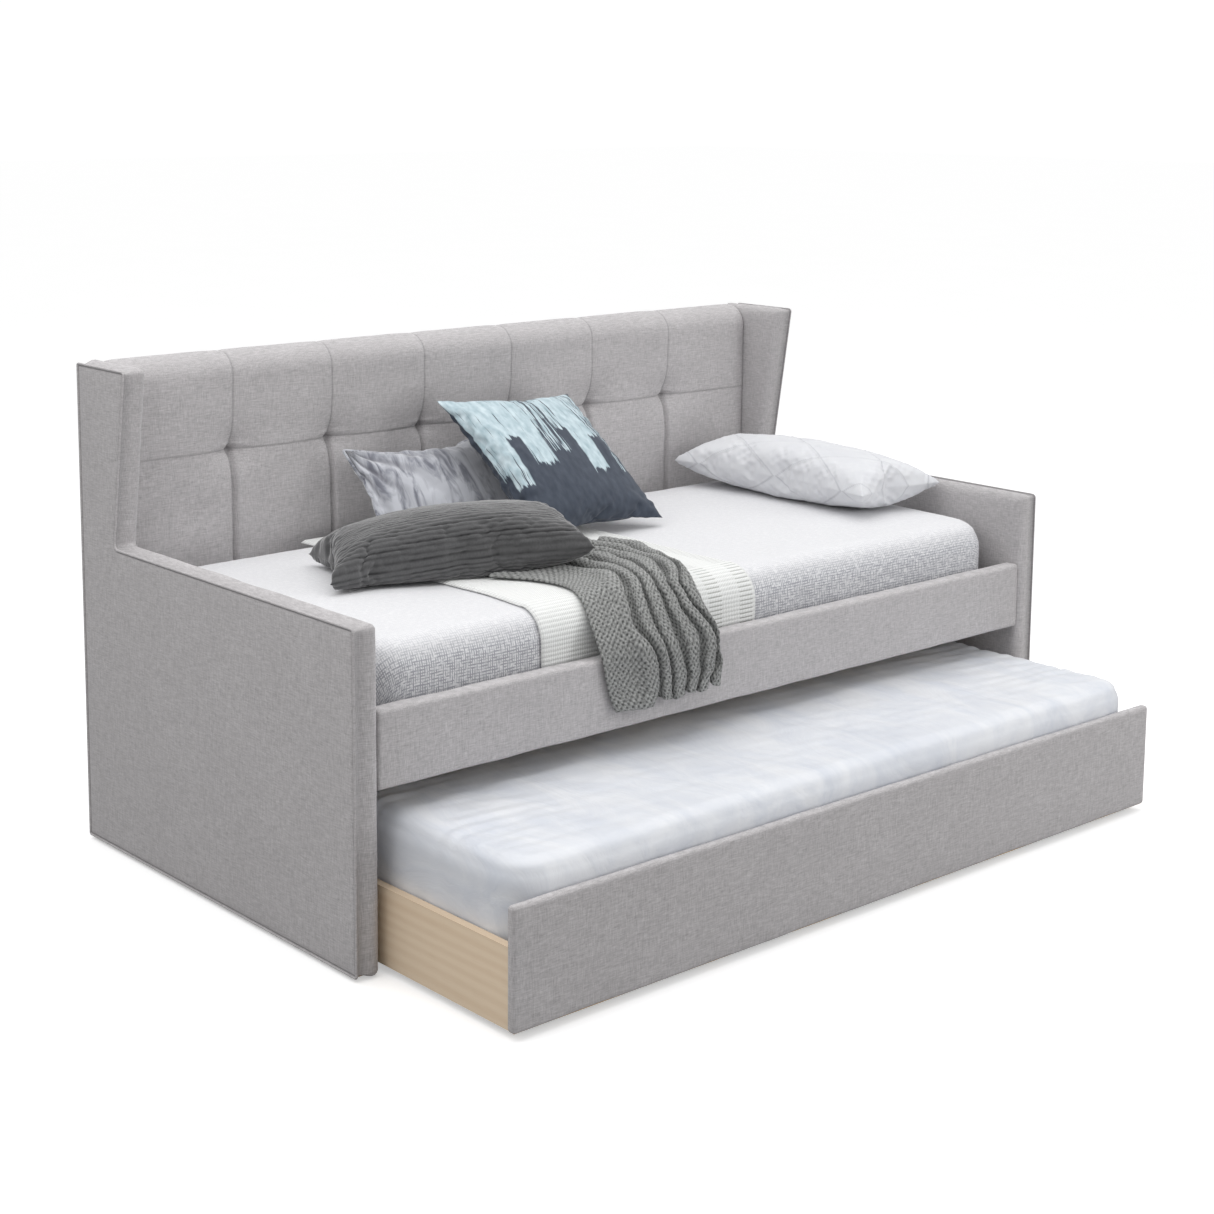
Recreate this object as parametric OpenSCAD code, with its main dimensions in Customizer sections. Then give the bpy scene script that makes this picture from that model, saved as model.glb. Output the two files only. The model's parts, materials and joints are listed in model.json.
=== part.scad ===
// Daybed with an upholstered winged frame and a roll-out trundle bed under it.
// X runs along the bed, Y from the open front to the back rest, Z up.
// The origin is on the floor, midway along the bed and midway between the back
// of the frame and the front of the pulled-out trundle.

/* [Frame] */
// Length over both side panels
overall_len = 2130; // [2080:5:2180]
// Depth of a side panel, front to back
depth = 1070; // [1060:5:1100]
// Height of the back rest and of the wings
back_h = 1120; // [1050:5:1200]
// Height of the low arm in front of each wing
arm_h = 715; // [690:5:760]
// Depth of a wing at its top
wing_top = 214; // [190:2:240]
// Depth of a wing where it meets the arm
wing_base = 154; // [130:2:180]
// Thickness of an upholstered side panel
side_t = 60; // [56:1:70]
// Height of the front rail's lower edge above the floor
rail_bottom = 377; // [360:1:385]
// Height of the front rail
rail_h = 162; // [150:1:170]
// Height of the top of the slats
slat_top = 450; // [445:1:455]

/* [Trundle] */
// How far the trundle stands out of the frame
pull_out = 400; // [300:5:500]
// Front to back depth of the trundle
trundle_depth = 945; // [930:5:960]
// Height of the top edge of the trundle's front
trundle_top = 262; // [240:1:280]
// Height of the wooden trundle boards' top edge
board_top = 177; // [165:1:190]
// Diameter of a trundle wheel
wheel_d = 50; // [46:1:50]

/* [Bedding] */
// Thickness of the main mattress with its coverlet
mattress_h = 200; // [160:5:220]
// Thickness of the trundle mattress with its sheet
trundle_mattress_h = 200; // [150:5:205]
// Width of the knitted runner
runner_w = 650; // [550:5:650]

/* [Hidden] */
$fn = 48;

// Places along X
half_len = overall_len / 2;
side_in = half_len - side_t;      // inner face of a side panel

// Places along Y, measured from the front edge of the side panels
centre_y = (depth - pull_out) / 2;
rail_front = 5;
rail_back = 45;
back_front = depth - 85;          // padded face of the back rest
back_low = depth - 50;            // thinly covered face below the mattress
back_rear = depth - 10;

// Upholstery
pad = 15;                         // foam and fabric on a side panel
fabric = 3;                       // fabric alone
glide_h = 6;
back_bottom = 240;
back_board_t = 30;

// Slats and what carries them
slat_w = 90;
slat_t = 18;
slat_pitch = 200;
ledger_t = 25;
ledger_h = 40;
ledger_half = side_in - 50;
ledger_top = slat_top - slat_t;

// Corner brackets and their bolts
plate_t = 3;
bracket_z = [380, 446];
bolt_z = [396, 430];
bolt_r = 4;
nut_r = 5.9;
nut_len = 15;

// Trundle box
trundle_half = side_in - 15;      // outer face of a trundle board
front_half = side_in - 7;         // end of the trundle's front
front_t = 22;                     // thickness of the trundle's covered front
board_t = 18;
board_z0 = 15;
box_half = trundle_half - board_t;
trundle_ledger_w = 56;
trundle_ledger_z = [85, 107];
trundle_slat_top = 125;

// Casters
caster_x = 900;
caster_in = 28;                   // wheel centre behind the covered front
wheel_r = wheel_d / 2;
wheel_w = 20;
axle_r = 4;

// Bedding
fit_gap = 0.3;
mattress_half = side_in - 15;
mattress_y = [60, 960];
mattress_z0 = slat_top + 1 + fit_gap;
mattress_top = mattress_z0 + mattress_h;
runner_x = -550;
runner_t = 5;
throw_z = [mattress_top + runner_t + 2 * fit_gap, mattress_top + 39];
bed_surface = mattress_top + runner_t + 3 * fit_gap;

// Colours
upholstery = [0.66, 0.65, 0.66];
pine = [0.82, 0.72, 0.57];
ply = [0.74, 0.62, 0.45];
zinc = [0.72, 0.73, 0.75];

// ---- Frames of reference and small helpers ----

module bed() translate([0, -centre_y, 0]) children();

module trundle_at() translate([0, -centre_y - pull_out, 0]) children();

module both_ends() {
    children();
    mirror([1, 0, 0]) children();
}

// A box from its low and high limits along X, Y and Z
module block(x, y, z)
    translate([x[0], y[0], z[0]])
        cube([x[1] - x[0], y[1] - y[0], z[1] - z[0]]);

// An outline in the Y-Z plane, extruded along +X from x0
module along_x(x0, len)
    translate([x0, 0, 0]) rotate([90, 0, 90]) linear_extrude(len) children();

// Round bars that start at p and run along +X, +Y or +Z
module bar_x(p, r, len) translate(p) rotate([0, 90, 0]) cylinder(r = r, h = len);
module bar_y(p, r, len) translate(p) rotate([-90, 0, 0]) cylinder(r = r, h = len);
module bar_z(p, r, len) translate(p) cylinder(r = r, h = len);

// ---- Side panels ----

// Front edge of the wing at height z, moved back by inset square to the edge
function wing_y(z, inset) =
    let (rise = back_h - arm_h, run = wing_top - wing_base)
    depth - wing_base - run * (z - arm_h) / rise
        + inset * sqrt(rise * rise + run * run) / rise;

function side_outline(inset, z0) = [
    [inset, z0],
    [inset, arm_h - inset],
    [wing_y(arm_h - inset, inset), arm_h - inset],
    [wing_y(back_h - inset, inset), back_h - inset],
    [depth - inset, back_h - inset],
    [depth - inset, z0]
];

// Bolt positions on a side panel: the bracket legs at the rail and at the back
side_bolt_y = [rail_back + 38, back_low - 38];

module side_frame() bed() difference() {
    along_x(side_in + pad, side_t - 2 * pad) polygon(side_outline(pad, glide_h));
    for (y = side_bolt_y, z = bolt_z)
        bar_x([side_in + pad - 1, y, z], nut_r + 0.1, 29);
    for (y = glide_y) bar_z([side_in + side_t / 2, y, glide_h - 1], 4.1, 22);
}

module side_cover() bed() difference() {
    along_x(side_in, side_t) polygon(side_outline(0, glide_h));
    along_x(side_in + pad, side_t - 2 * pad) polygon(side_outline(pad, glide_h - 5));
    for (y = side_bolt_y, z = bolt_z)
        bar_x([side_in - 1, y, z], bolt_r + 1, pad + 2);
}

module left_side_frame() color(ply) mirror([1, 0, 0]) side_frame();
module right_side_frame() color(ply) side_frame();
module left_side_cover() color(upholstery) mirror([1, 0, 0]) side_cover();
module right_side_cover() color(upholstery) side_cover();

// Plastic glides pushed into the side panels from below
glide_y = [60, depth - 60];

module floor_glides() color("dimgray") bed() both_ends() for (y = glide_y) {
    bar_z([side_in + side_t / 2, y, 0], 15, glide_h);
    bar_z([side_in + side_t / 2, y, glide_h - 0.5], 4, 20);
}

// ---- Back rest ----

roll_r = 35;                      // rounding of the padded top edge
board_y = [back_rear - 5 - back_board_t, back_rear - 5];

module back_outline() {
    translate([back_low, back_bottom]) square([back_rear - back_low, 300]);
    translate([back_front, slat_top + 5])
        square([back_rear - back_front, back_h - roll_r - slat_top - 5]);
    translate([back_front + roll_r, back_h - 2 * roll_r])
        square([back_rear - back_front - roll_r, 2 * roll_r]);
    translate([back_front + roll_r, back_h - roll_r]) circle(r = roll_r);
}

module back_frame() color(ply) bed() difference() {
    block([-side_in + 5, side_in - 5], board_y, [back_bottom, back_h - 40]);
    both_ends() for (z = bolt_z)
        bar_y([side_in - 28, board_y[0] - 1, z], nut_r + 0.1, 26);
    for (x = ledger_screw_x)
        bar_y([x, board_y[0] - 1, ledger_top - ledger_h / 2], screw_r + 0.1, 19);
}

module back_cover() color(upholstery) bed() difference() {
    along_x(-side_in, 2 * side_in) back_outline();
    block([-side_in + 5, side_in - 5], board_y, [back_bottom - 5, back_h - 40]);
    both_ends() for (z = bolt_z) bar_y([side_in - 28, back_low - 1, z], bolt_r + 1, 7);
    for (x = ledger_screw_x)
        bar_y([x, back_low - 1, ledger_top - ledger_h / 2], screw_r + 0.1, 7);
}

// ---- Front rail and slat ledgers ----

rail_z = [rail_bottom, rail_bottom + rail_h];
rail_board_y = [rail_back - fabric - 22, rail_back - fabric];

module front_rail_board() color(ply) bed() difference() {
    block([-side_in, side_in], rail_board_y, [rail_z[0] + 6, rail_z[1] - 6]);
    both_ends() for (z = bolt_z)
        bar_y([side_in - 28, rail_board_y[1] - 20, z], nut_r + 0.1, 21);
    for (x = ledger_screw_x)
        bar_y([x, rail_board_y[1] - 17, ledger_top - ledger_h / 2], screw_r + 0.1, 18);
}

module front_rail_cover() color(upholstery) bed() difference() {
    block([-side_in, side_in], [rail_front, rail_back], rail_z);
    block([-side_in - 1, side_in + 1], rail_board_y, [rail_z[0] + 6, rail_z[1] - 6]);
    both_ends() for (z = bolt_z)
        bar_y([side_in - 28, rail_board_y[1] - 1, z], bolt_r + 1, 6);
    for (x = ledger_screw_x)
        bar_y([x, rail_board_y[1] - 1, ledger_top - ledger_h / 2], screw_r + 0.1, 6);
}

ledger_screw_x = [-800, -400, 0, 400, 800];
screw_r = 2.5;

module ledger(y0) difference() {
    block([-ledger_half, ledger_half], [y0, y0 + ledger_t], [ledger_top - ledger_h, ledger_top]);
    for (x = ledger_screw_x)
        bar_y([x, y0 - 1, ledger_top - ledger_h / 2], screw_r + 0.1, ledger_t + 2);
}

module front_ledger() color(pine) bed() ledger(rail_back);
module back_ledger() color(pine) bed() ledger(back_low - ledger_t);

// A pan-head screw standing on z = 0 with its shank below
module screw(r, len) {
    cylinder(r = 2 * r, h = r);
    translate([0, 0, -len]) cylinder(r = r, h = len + 0.5);
}

module ledger_screws() color(zinc) bed() for (x = ledger_screw_x) {
    translate([x, rail_back + ledger_t, ledger_top - ledger_h / 2])
        rotate([-90, 0, 0]) screw(screw_r, 44);
    translate([x, back_low - ledger_t, ledger_top - ledger_h / 2])
        rotate([90, 0, 0]) screw(screw_r, 46);
}

// ---- Knock-down fittings ----

// Angle bracket in the right-hand corner at wall y; legs run along +Y (dir 1) or -Y
module angle(y, dir) {
    y_leg = dir > 0 ? [y, y + plate_t] : [y - plate_t, y];
    y_side = dir > 0 ? [y, y + 60] : [y - 60, y];
    difference() {
        union() {
            block([side_in - 46, side_in], y_leg, bracket_z);
            block([side_in - plate_t, side_in], y_side, bracket_z);
        }
        for (z = bolt_z) {
            bar_y([side_in - 28, y - 5, z], bolt_r + 0.5, 10);
            bar_x([side_in - 5, y + 38 * dir, z], bolt_r + 0.5, 10);
        }
    }
}

module corner_brackets() color(zinc) bed() both_ends() {
    angle(rail_back, 1);
    angle(back_low, -1);
}

// A socket-head bolt standing on z = 0 with its shank below
module bolt(len) difference() {
    union() {
        cylinder(r = 7, h = 5);
        translate([0, 0, -len]) cylinder(r = bolt_r, h = len + 0.5);
    }
    translate([0, 0, 2]) cylinder(r = 2.9, h = 4, $fn = 6);
}

module frame_bolts() color(zinc) bed() both_ends() for (z = bolt_z) {
    translate([side_in - 28, rail_back + plate_t, z]) rotate([-90, 0, 0]) bolt(22);
    translate([side_in - 28, back_low - plate_t, z]) rotate([90, 0, 0]) bolt(27);
    for (y = side_bolt_y)
        translate([side_in - plate_t, y, z]) rotate([0, -90, 0]) bolt(40);
}

// A threaded insert whose mouth is on z = 0
module insert_nut() difference() {
    translate([0, 0, -nut_len]) cylinder(r = nut_r, h = nut_len);
    translate([0, 0, -nut_len - 1]) cylinder(r = bolt_r + 0.1, h = nut_len + 2);
}

module insert_nuts() color("goldenrod") bed() both_ends() for (z = bolt_z) {
    translate([side_in - 28, rail_board_y[1], z]) rotate([-90, 0, 0]) insert_nut();
    translate([side_in - 28, board_y[0], z]) rotate([90, 0, 0]) insert_nut();
    for (y = side_bolt_y)
        translate([side_in + pad, y, z]) rotate([0, -90, 0]) insert_nut();
}

// ---- Slats ----

module slat(i) color(pine) bed()
    block([slat_x(i) - slat_w / 2, slat_x(i) + slat_w / 2],
        [rail_back + 2, back_low - 5], [ledger_top, slat_top]);

function slat_x(i) = (i - 4.5) * slat_pitch;

// Two bands stapled over the slats to hold their spacing
module slat_webbing() color("gainsboro") bed() for (y = [250, 760])
    block([slat_x(0) - slat_w / 2, slat_x(9) + slat_w / 2], [y, y + 30],
        [slat_top, slat_top + 1]);

// ---- Trundle box, measured from the trundle's front face ----

front_board_y = [5, front_t - fabric];
back_y = trundle_depth - board_t;

module trundle_front_board() color(ply) trundle_at() difference() {
    block([-front_half + 5, front_half - 5], front_board_y, [board_z0 + 1, trundle_top - 3]);
    both_ends() for (z = bracket_screw_z)
        bar_y([box_half - 24, front_board_y[1] - 11, z], bracket_screw_r + 0.1, 12);
}

module trundle_front_cover() color(upholstery) trundle_at() difference() {
    block([-front_half, front_half], [0, front_t], [board_z0 + 1, trundle_top]);
    block([-front_half + 5, front_half - 5], front_board_y, [board_z0 - 4, trundle_top - 3]);
    both_ends() for (z = bracket_screw_z)
        bar_y([box_half - 24, front_t - fabric - 1, z], bracket_screw_r + 0.1, fabric + 2);
}

module trundle_side_board() difference() {
    block([box_half, trundle_half], [front_t, back_y], [board_z0, board_top]);
    for (z = bracket_screw_z)
        bar_x([box_half - 1, front_t + 24, z], bracket_screw_r + 0.1, 14);
    for (z = corner_screw_z)
        bar_y([trundle_half - board_t / 2, back_y - 33, z], screw_r + 0.1, 34);
}

module trundle_left_board() color(pine) trundle_at() mirror([1, 0, 0]) trundle_side_board();
module trundle_right_board() color(pine) trundle_at() trundle_side_board();

module trundle_back_board() color(pine) trundle_at() difference() {
    block([-trundle_half, trundle_half], [back_y, trundle_depth], [board_z0, board_top]);
    both_ends() for (z = corner_screw_z)
        bar_y([trundle_half - board_t / 2, back_y - 1, z], screw_r + 0.1, board_t + 2);
}

module trundle_ledger(y0)
    block([-box_half, box_half], [y0, y0 + trundle_ledger_w], trundle_ledger_z);

module trundle_front_ledger() color(pine) trundle_at() trundle_ledger(front_t);
module trundle_back_ledger() color(pine) trundle_at()
    trundle_ledger(back_y - trundle_ledger_w);

// Angle plates in the two front corners of the box
bracket_screw_z = [42, 68];
bracket_screw_r = 2;
corner_screw_z = [40, 95, 150];
angle_t = 2.5;

module trundle_brackets() color(zinc) trundle_at() both_ends() difference() {
    union() {
        block([box_half - 36, box_half], [front_t, front_t + angle_t], [30, 80]);
        block([box_half - angle_t, box_half], [front_t, front_t + 36], [30, 80]);
    }
    for (z = bracket_screw_z) {
        bar_y([box_half - 24, front_t - 1, z], bracket_screw_r + 0.3, angle_t + 2);
        bar_x([box_half - angle_t - 1, front_t + 24, z], bracket_screw_r + 0.3, angle_t + 2);
    }
}

module trundle_screws() color(zinc) trundle_at() both_ends() {
    for (z = bracket_screw_z) {
        translate([box_half - 24, front_t + angle_t, z])
            rotate([-90, 0, 0]) screw(bracket_screw_r, 15);
        translate([box_half - angle_t, front_t + 24, z])
            rotate([0, -90, 0]) screw(bracket_screw_r, 15);
    }
    for (z = corner_screw_z)
        translate([trundle_half - board_t / 2, trundle_depth, z])
            rotate([-90, 0, 0]) screw(screw_r, 50);
}

module trundle_slat(i) color(pine) trundle_at()
    block([(i - 4) * slat_pitch - slat_w / 2, (i - 4) * slat_pitch + slat_w / 2],
        [front_t + 2, back_y - 2], [trundle_ledger_z[1], trundle_slat_top]);

// ---- Casters ----

caster_y = [front_t + caster_in, back_y - caster_in];
cheek_in = wheel_w / 2 + 2;       // inner face of a fork cheek
cheek_t = 2;

module at_casters() for (y = caster_y, sx = [-1, 1])
    translate([sx * caster_x, y, wheel_r]) children();

module caster_brackets() color(zinc) trundle_at() at_casters() difference() {
    union() {
        block([-28, 28], [-26, 26], [plate_z - 3, plate_z]);
        for (sx = [-1, 1])
            block([sx * (cheek_in + cheek_t / 2) - cheek_t / 2,
                sx * (cheek_in + cheek_t / 2) + cheek_t / 2],
                [-12, 12], [-8, plate_z - 2.5]);
    }
    bar_x([-cheek_in - 5, 0, 0], axle_r, 2 * cheek_in + 10);
}
plate_z = trundle_ledger_z[0] - wheel_r;   // top of the plate above the axle

module caster_axles() color("silver") trundle_at() at_casters() {
    bar_x([-cheek_in - cheek_t, 0, 0], axle_r, 2 * (cheek_in + cheek_t));
    bar_x([-cheek_in - cheek_t - 2, 0, 0], axle_r + 2, 2);
    bar_x([cheek_in + cheek_t, 0, 0], axle_r + 2, 2);
}

// Wheel with a rounded tread and a recessed web on both faces
module wheel() rotate([0, 90, 0]) rotate_extrude($fn = 96) difference() {
    union() {
        translate([axle_r + 0.05, -wheel_w / 2]) square([wheel_r - axle_r - 3.05, wheel_w]);
        translate([wheel_r - 5, -wheel_w / 2 + 3]) square([5, wheel_w - 6]);
        for (s = [-1, 1]) translate([wheel_r - 3, s * (wheel_w / 2 - 3)]) circle(r = 3);
    }
    for (s = [-1, 1]) translate([9, s * wheel_w / 2 - 3]) square([8, 6]);
}

module trundle_wheel(sx, y) color([0.2, 0.2, 0.21]) trundle_at()
    translate([sx * caster_x, y, wheel_r]) wheel();

module wheel_front_left() trundle_wheel(-1, caster_y[0]);
module wheel_front_right() trundle_wheel(1, caster_y[0]);
module wheel_back_left() trundle_wheel(-1, caster_y[1]);
module wheel_back_right() trundle_wheel(1, caster_y[1]);

// ---- Mattresses ----

// Rectangle from its limits with its corners rounded to radius r
module round_rect(x, y, r) {
    translate([x[0] + r, y[0]]) square([x[1] - x[0] - 2 * r, y[1] - y[0]]);
    translate([x[0], y[0] + r]) square([x[1] - x[0], y[1] - y[0] - 2 * r]);
    for (cx = [x[0] + r, x[1] - r], cy = [y[0] + r, y[1] - r])
        translate([cx, cy]) circle(r = r);
}

module slab(x, y, z, r)
    translate([0, 0, z[0]]) linear_extrude(z[1] - z[0]) round_rect(x, y, r);

// Mattress core, a cover thickness t smaller than the made-up bed all round
module mattress_core(x, y, z, t)
    slab([-x + t, x - t], [y[0] + t, y[1] - t], [z[0], z[1] - t], 42 - t);

cover_t = 2;
main_z = [mattress_z0, mattress_top];
trundle_y = [front_t + 1, back_y - 1];
trundle_z = [trundle_slat_top, trundle_slat_top + trundle_mattress_h];

module main_mattress() color("white") bed()
    mattress_core(mattress_half, mattress_y, main_z, cover_t);

module main_coverlet() color([0.85, 0.85, 0.87]) bed() difference() {
    slab([-mattress_half, mattress_half], mattress_y, [slat_top + 8, mattress_top], 42);
    mattress_core(mattress_half, mattress_y, [slat_top - 5, mattress_top], cover_t);
}

module trundle_mattress() color("white") trundle_at()
    mattress_core(box_half, trundle_y, trundle_z, cover_t);

module trundle_sheet() color([0.84, 0.85, 0.88]) trundle_at() difference() {
    slab([-box_half, box_half], trundle_y, [trundle_slat_top + 5, trundle_z[1]], 42);
    mattress_core(box_half, trundle_y, [trundle_slat_top - 5, trundle_z[1]], cover_t);
}

// ---- Loose bedding ----

// Strip across the mattress whose front end is tucked behind the rail
module knit_runner() color([0.93, 0.92, 0.89]) bed() {
    block([runner_x, runner_x + runner_w], [rail_back + 2, mattress_y[1] - 10],
        [mattress_top + fit_gap, mattress_top + fit_gap + runner_t]);
    block([runner_x, runner_x + runner_w], [rail_back + 2, mattress_y[0] - 3],
        [rail_z[1] - 25, mattress_top + fit_gap + 1]);
}

// Folded blanket: a pad on the mattress and a fall in front of the rail
throw_fall_x = [-410, -95];
throw_edge = 60;

module knit_throw() color([0.46, 0.46, 0.44]) bed() {
    translate([0, 0, throw_z[0]]) linear_extrude(throw_z[1] - throw_z[0])
        polygon([[-455, throw_edge], [-70, throw_edge], [-10, 300], [-10, 440], [-130, 440],
            [-245, 185], [-280, 196], [-435, 271], [-415, 207], [-455, 120]]);
    along_x(throw_fall_x[0], throw_fall_x[1] - throw_fall_x[0]) polygon([
        [throw_edge + 5, throw_z[0]], [throw_edge + 5, throw_z[1]], [20, throw_z[1]],
        [-24, 600], [-24, 420], [4.5, 420], [4.5, rail_z[1] + 6], [40, throw_z[0]]
    ]);
}

// Stuffed pad: full thickness in the middle, thin at the seam round its edge,
// which lies at height rim above the pad's middle
module cushion(size, rim = 0) hull() {
    cube([size[0] * 0.5, size[1] * 0.5, size[2]], center = true);
    for (sx = [-1, 1], sy = [-1, 1])
        translate([sx * (size[0] / 2 - 8), sy * (size[1] / 2 - 8), rim])
            sphere(r = 8, $fn = 16);
}

module charcoal_cushion() color([0.3, 0.3, 0.31]) bed()
    translate([-468, 476, bed_surface + 74]) rotate([0, -5, -26])
        cushion([580, 300, 120], -30);

module grey_cushion() color([0.68, 0.67, 0.7]) bed()
    translate([-212, 826, bed_surface + 112]) rotate([48, 0, 0])
        cushion([470, 280, 84]);

module teal_cushion() color([0.35, 0.43, 0.47]) bed()
    translate([35.5, 704, 825.7]) rotate([0, 0, -5.6]) rotate([35.8, 0, 0])
        rotate([0, 7.8, 5]) cushion([450, 450, 100]);

module white_pillow() color([0.88, 0.88, 0.9]) bed()
    translate([836, 590, mattress_top + fit_gap + 74]) cushion([310, 690, 146]);

// ---- Choice of node ----

left_side_frame();
left_side_cover();
right_side_frame();
right_side_cover();
back_frame();
back_cover();
front_rail_board();
front_rail_cover();
front_ledger();
back_ledger();
corner_brackets();
frame_bolts();
insert_nuts();
floor_glides();
ledger_screws();
slat_webbing();
slat(0);  // slat_01
slat(1);  // slat_02
slat(2);  // slat_03
slat(3);  // slat_04
slat(4);  // slat_05
slat(5);  // slat_06
slat(6);  // slat_07
slat(7);  // slat_08
slat(8);  // slat_09
slat(9);  // slat_10
trundle_front_board();
trundle_front_cover();
trundle_left_board();
trundle_right_board();
trundle_back_board();
trundle_front_ledger();
trundle_back_ledger();
trundle_brackets();
trundle_screws();
caster_brackets();
caster_axles();
trundle_mattress();
trundle_sheet();
trundle_slat(0);  // trundle_slat_01
trundle_slat(1);  // trundle_slat_02
trundle_slat(2);  // trundle_slat_03
trundle_slat(3);  // trundle_slat_04
trundle_slat(4);  // trundle_slat_05
trundle_slat(5);  // trundle_slat_06
trundle_slat(6);  // trundle_slat_07
trundle_slat(7);  // trundle_slat_08
trundle_slat(8);  // trundle_slat_09
wheel_front_left();
wheel_front_right();
wheel_back_left();
wheel_back_right();
main_mattress();
main_coverlet();
knit_runner();
knit_throw();
charcoal_cushion();
grey_cushion();
teal_cushion();
white_pillow();
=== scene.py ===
"""Trundle daybed: the visible model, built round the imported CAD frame.

Metres, in the row's frame: X along the bed, Y from the open front to the back
rest, Z up.  Every piece is made in place and rides on a CAD body by name.
"""
import json
import math

import bpy
import numpy as np
from mathutils import Matrix, Vector
from mathutils.bvhtree import BVHTree


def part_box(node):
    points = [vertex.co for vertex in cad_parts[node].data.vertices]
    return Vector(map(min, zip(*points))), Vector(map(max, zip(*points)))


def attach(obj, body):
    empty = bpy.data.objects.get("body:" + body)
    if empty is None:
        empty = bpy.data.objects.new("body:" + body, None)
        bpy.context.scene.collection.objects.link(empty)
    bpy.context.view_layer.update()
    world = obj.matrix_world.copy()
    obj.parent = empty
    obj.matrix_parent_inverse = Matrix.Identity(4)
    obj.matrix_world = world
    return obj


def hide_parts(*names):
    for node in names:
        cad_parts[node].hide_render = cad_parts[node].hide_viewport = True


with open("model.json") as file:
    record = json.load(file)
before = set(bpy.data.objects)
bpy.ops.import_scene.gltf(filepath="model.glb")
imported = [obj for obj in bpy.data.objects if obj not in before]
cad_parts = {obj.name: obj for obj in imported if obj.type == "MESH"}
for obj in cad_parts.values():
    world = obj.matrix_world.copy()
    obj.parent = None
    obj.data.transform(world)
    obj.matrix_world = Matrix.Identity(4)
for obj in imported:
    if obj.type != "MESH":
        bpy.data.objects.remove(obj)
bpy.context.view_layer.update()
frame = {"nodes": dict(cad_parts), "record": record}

MM = 0.001


# ---------------------------------------------------------------- mesh helpers

def grid_faces(rows, cols, close_rows=False, close_cols=False):
    """Quads of a grid of vertices that runs row by row."""
    r, c = np.meshgrid(np.arange(rows if close_rows else rows - 1),
                       np.arange(cols if close_cols else cols - 1), indexing="ij")
    r2, c2 = (r + 1) % rows, (c + 1) % cols
    quads = [r * cols + c, r * cols + c2, r2 * cols + c2, r2 * cols + c]
    return np.stack(quads, -1).reshape(-1, 4).tolist()


def capped_tube(rings, count):
    """Faces of a tube of rings with count vertices each, closed at both ends."""
    last = (rings - 1) * count
    return grid_faces(rings, count, close_cols=True) + [list(range(count))[::-1],
                                                        list(range(last, last + count))]


def around(grid):
    """The entries along the border of a grid, in order."""
    return np.concatenate([grid[0], grid[1:, -1], grid[-1, -2::-1], grid[-2:0:-1, 0]])


def unit(vectors):
    return vectors / np.linalg.norm(vectors, axis=-1, keepdims=True)


def lengths_along(path):
    """Distance of each point of a path from its first."""
    return np.r_[0, np.cumsum(np.linalg.norm(np.diff(path, axis=0), axis=1))]


def sample(path, run, at):
    """Points of a path at given distances along it, where run has its own distances."""
    return np.stack([np.interp(at, run, c) for c in path.T], -1)


def add_object(name, data):
    thing = bpy.data.objects.new(name, data)
    bpy.context.scene.collection.objects.link(thing)
    return thing


def make_piece(name, verts, faces, material, body, slot, replaces=(), **attributes):
    """A smooth-shaded mesh object that rides on a body.

    Each attribute is an array with one value or one vector per vertex, which
    the materials read by name.
    """
    mesh = bpy.data.meshes.new(name)
    mesh.from_pydata(np.asarray(verts, float).tolist(), [], faces)
    for key, values in attributes.items():
        values = np.asarray(values, np.float32)
        kind, field = ("FLOAT_VECTOR", "vector") if values.ndim == 2 else ("FLOAT", "value")
        mesh.attributes.new(key, kind, "POINT").data.foreach_set(field, values.ravel())
    mesh.shade_smooth()
    mesh.validate()
    piece = add_object(name, mesh)
    mesh.materials.append(material)
    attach(piece, body)
    if replaces:
        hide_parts(*replaces)
    return piece


def ripple(spots, wavelength, seed):
    """Smooth irregular height from about -1 to 1 at spots, a tuple of coordinate arrays."""
    rng = np.random.default_rng(seed)
    spots = np.stack(np.broadcast_arrays(*spots), -1)
    total, weight = 0.0, 0.0
    for octave in (1, 2):
        for _ in range(5):
            direction = unit(rng.normal(size=spots.shape[-1]))
            length = wavelength / octave * rng.uniform(0.7, 1.4)
            phase = rng.uniform(0, 2 * math.pi)
            total = total + np.sin(spots @ direction * 2 * math.pi / length + phase) / octave
        weight += 5 ** 0.5 / octave
    return total / weight


def unevenness(spots, seed, *waves):
    """Sum of ripples, each given as its wavelength and its height in mm."""
    return sum(ripple(spots, length, seed + i) * height * MM
               for i, (length, height) in enumerate(waves))


def graded(low, high, centres, fine, coarse, reach):
    """Samples from low to high, closely spaced near each of the centres."""
    out = [low]
    while out[-1] < high - 1e-9:
        near = min((abs(out[-1] - c) for c in centres), default=1e9)
        step = fine if near < reach else min(coarse, fine + (near - reach) * 0.6 + fine)
        ahead = [c - reach - out[-1] for c in centres if c - reach > out[-1] + 1e-6]
        step = min([step] + [max(a, fine) for a in ahead])
        out.append(min(out[-1] + step, high))
    return np.array(out)


def edge_counts(corners, spacing):
    """How many steps of about spacing fit along each edge of an outline."""
    corners = np.asarray(corners, float)
    lengths = np.linalg.norm(np.roll(corners, -1, axis=0) - corners, axis=1)
    return np.maximum(1, np.round(lengths / spacing)).astype(int)


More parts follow.
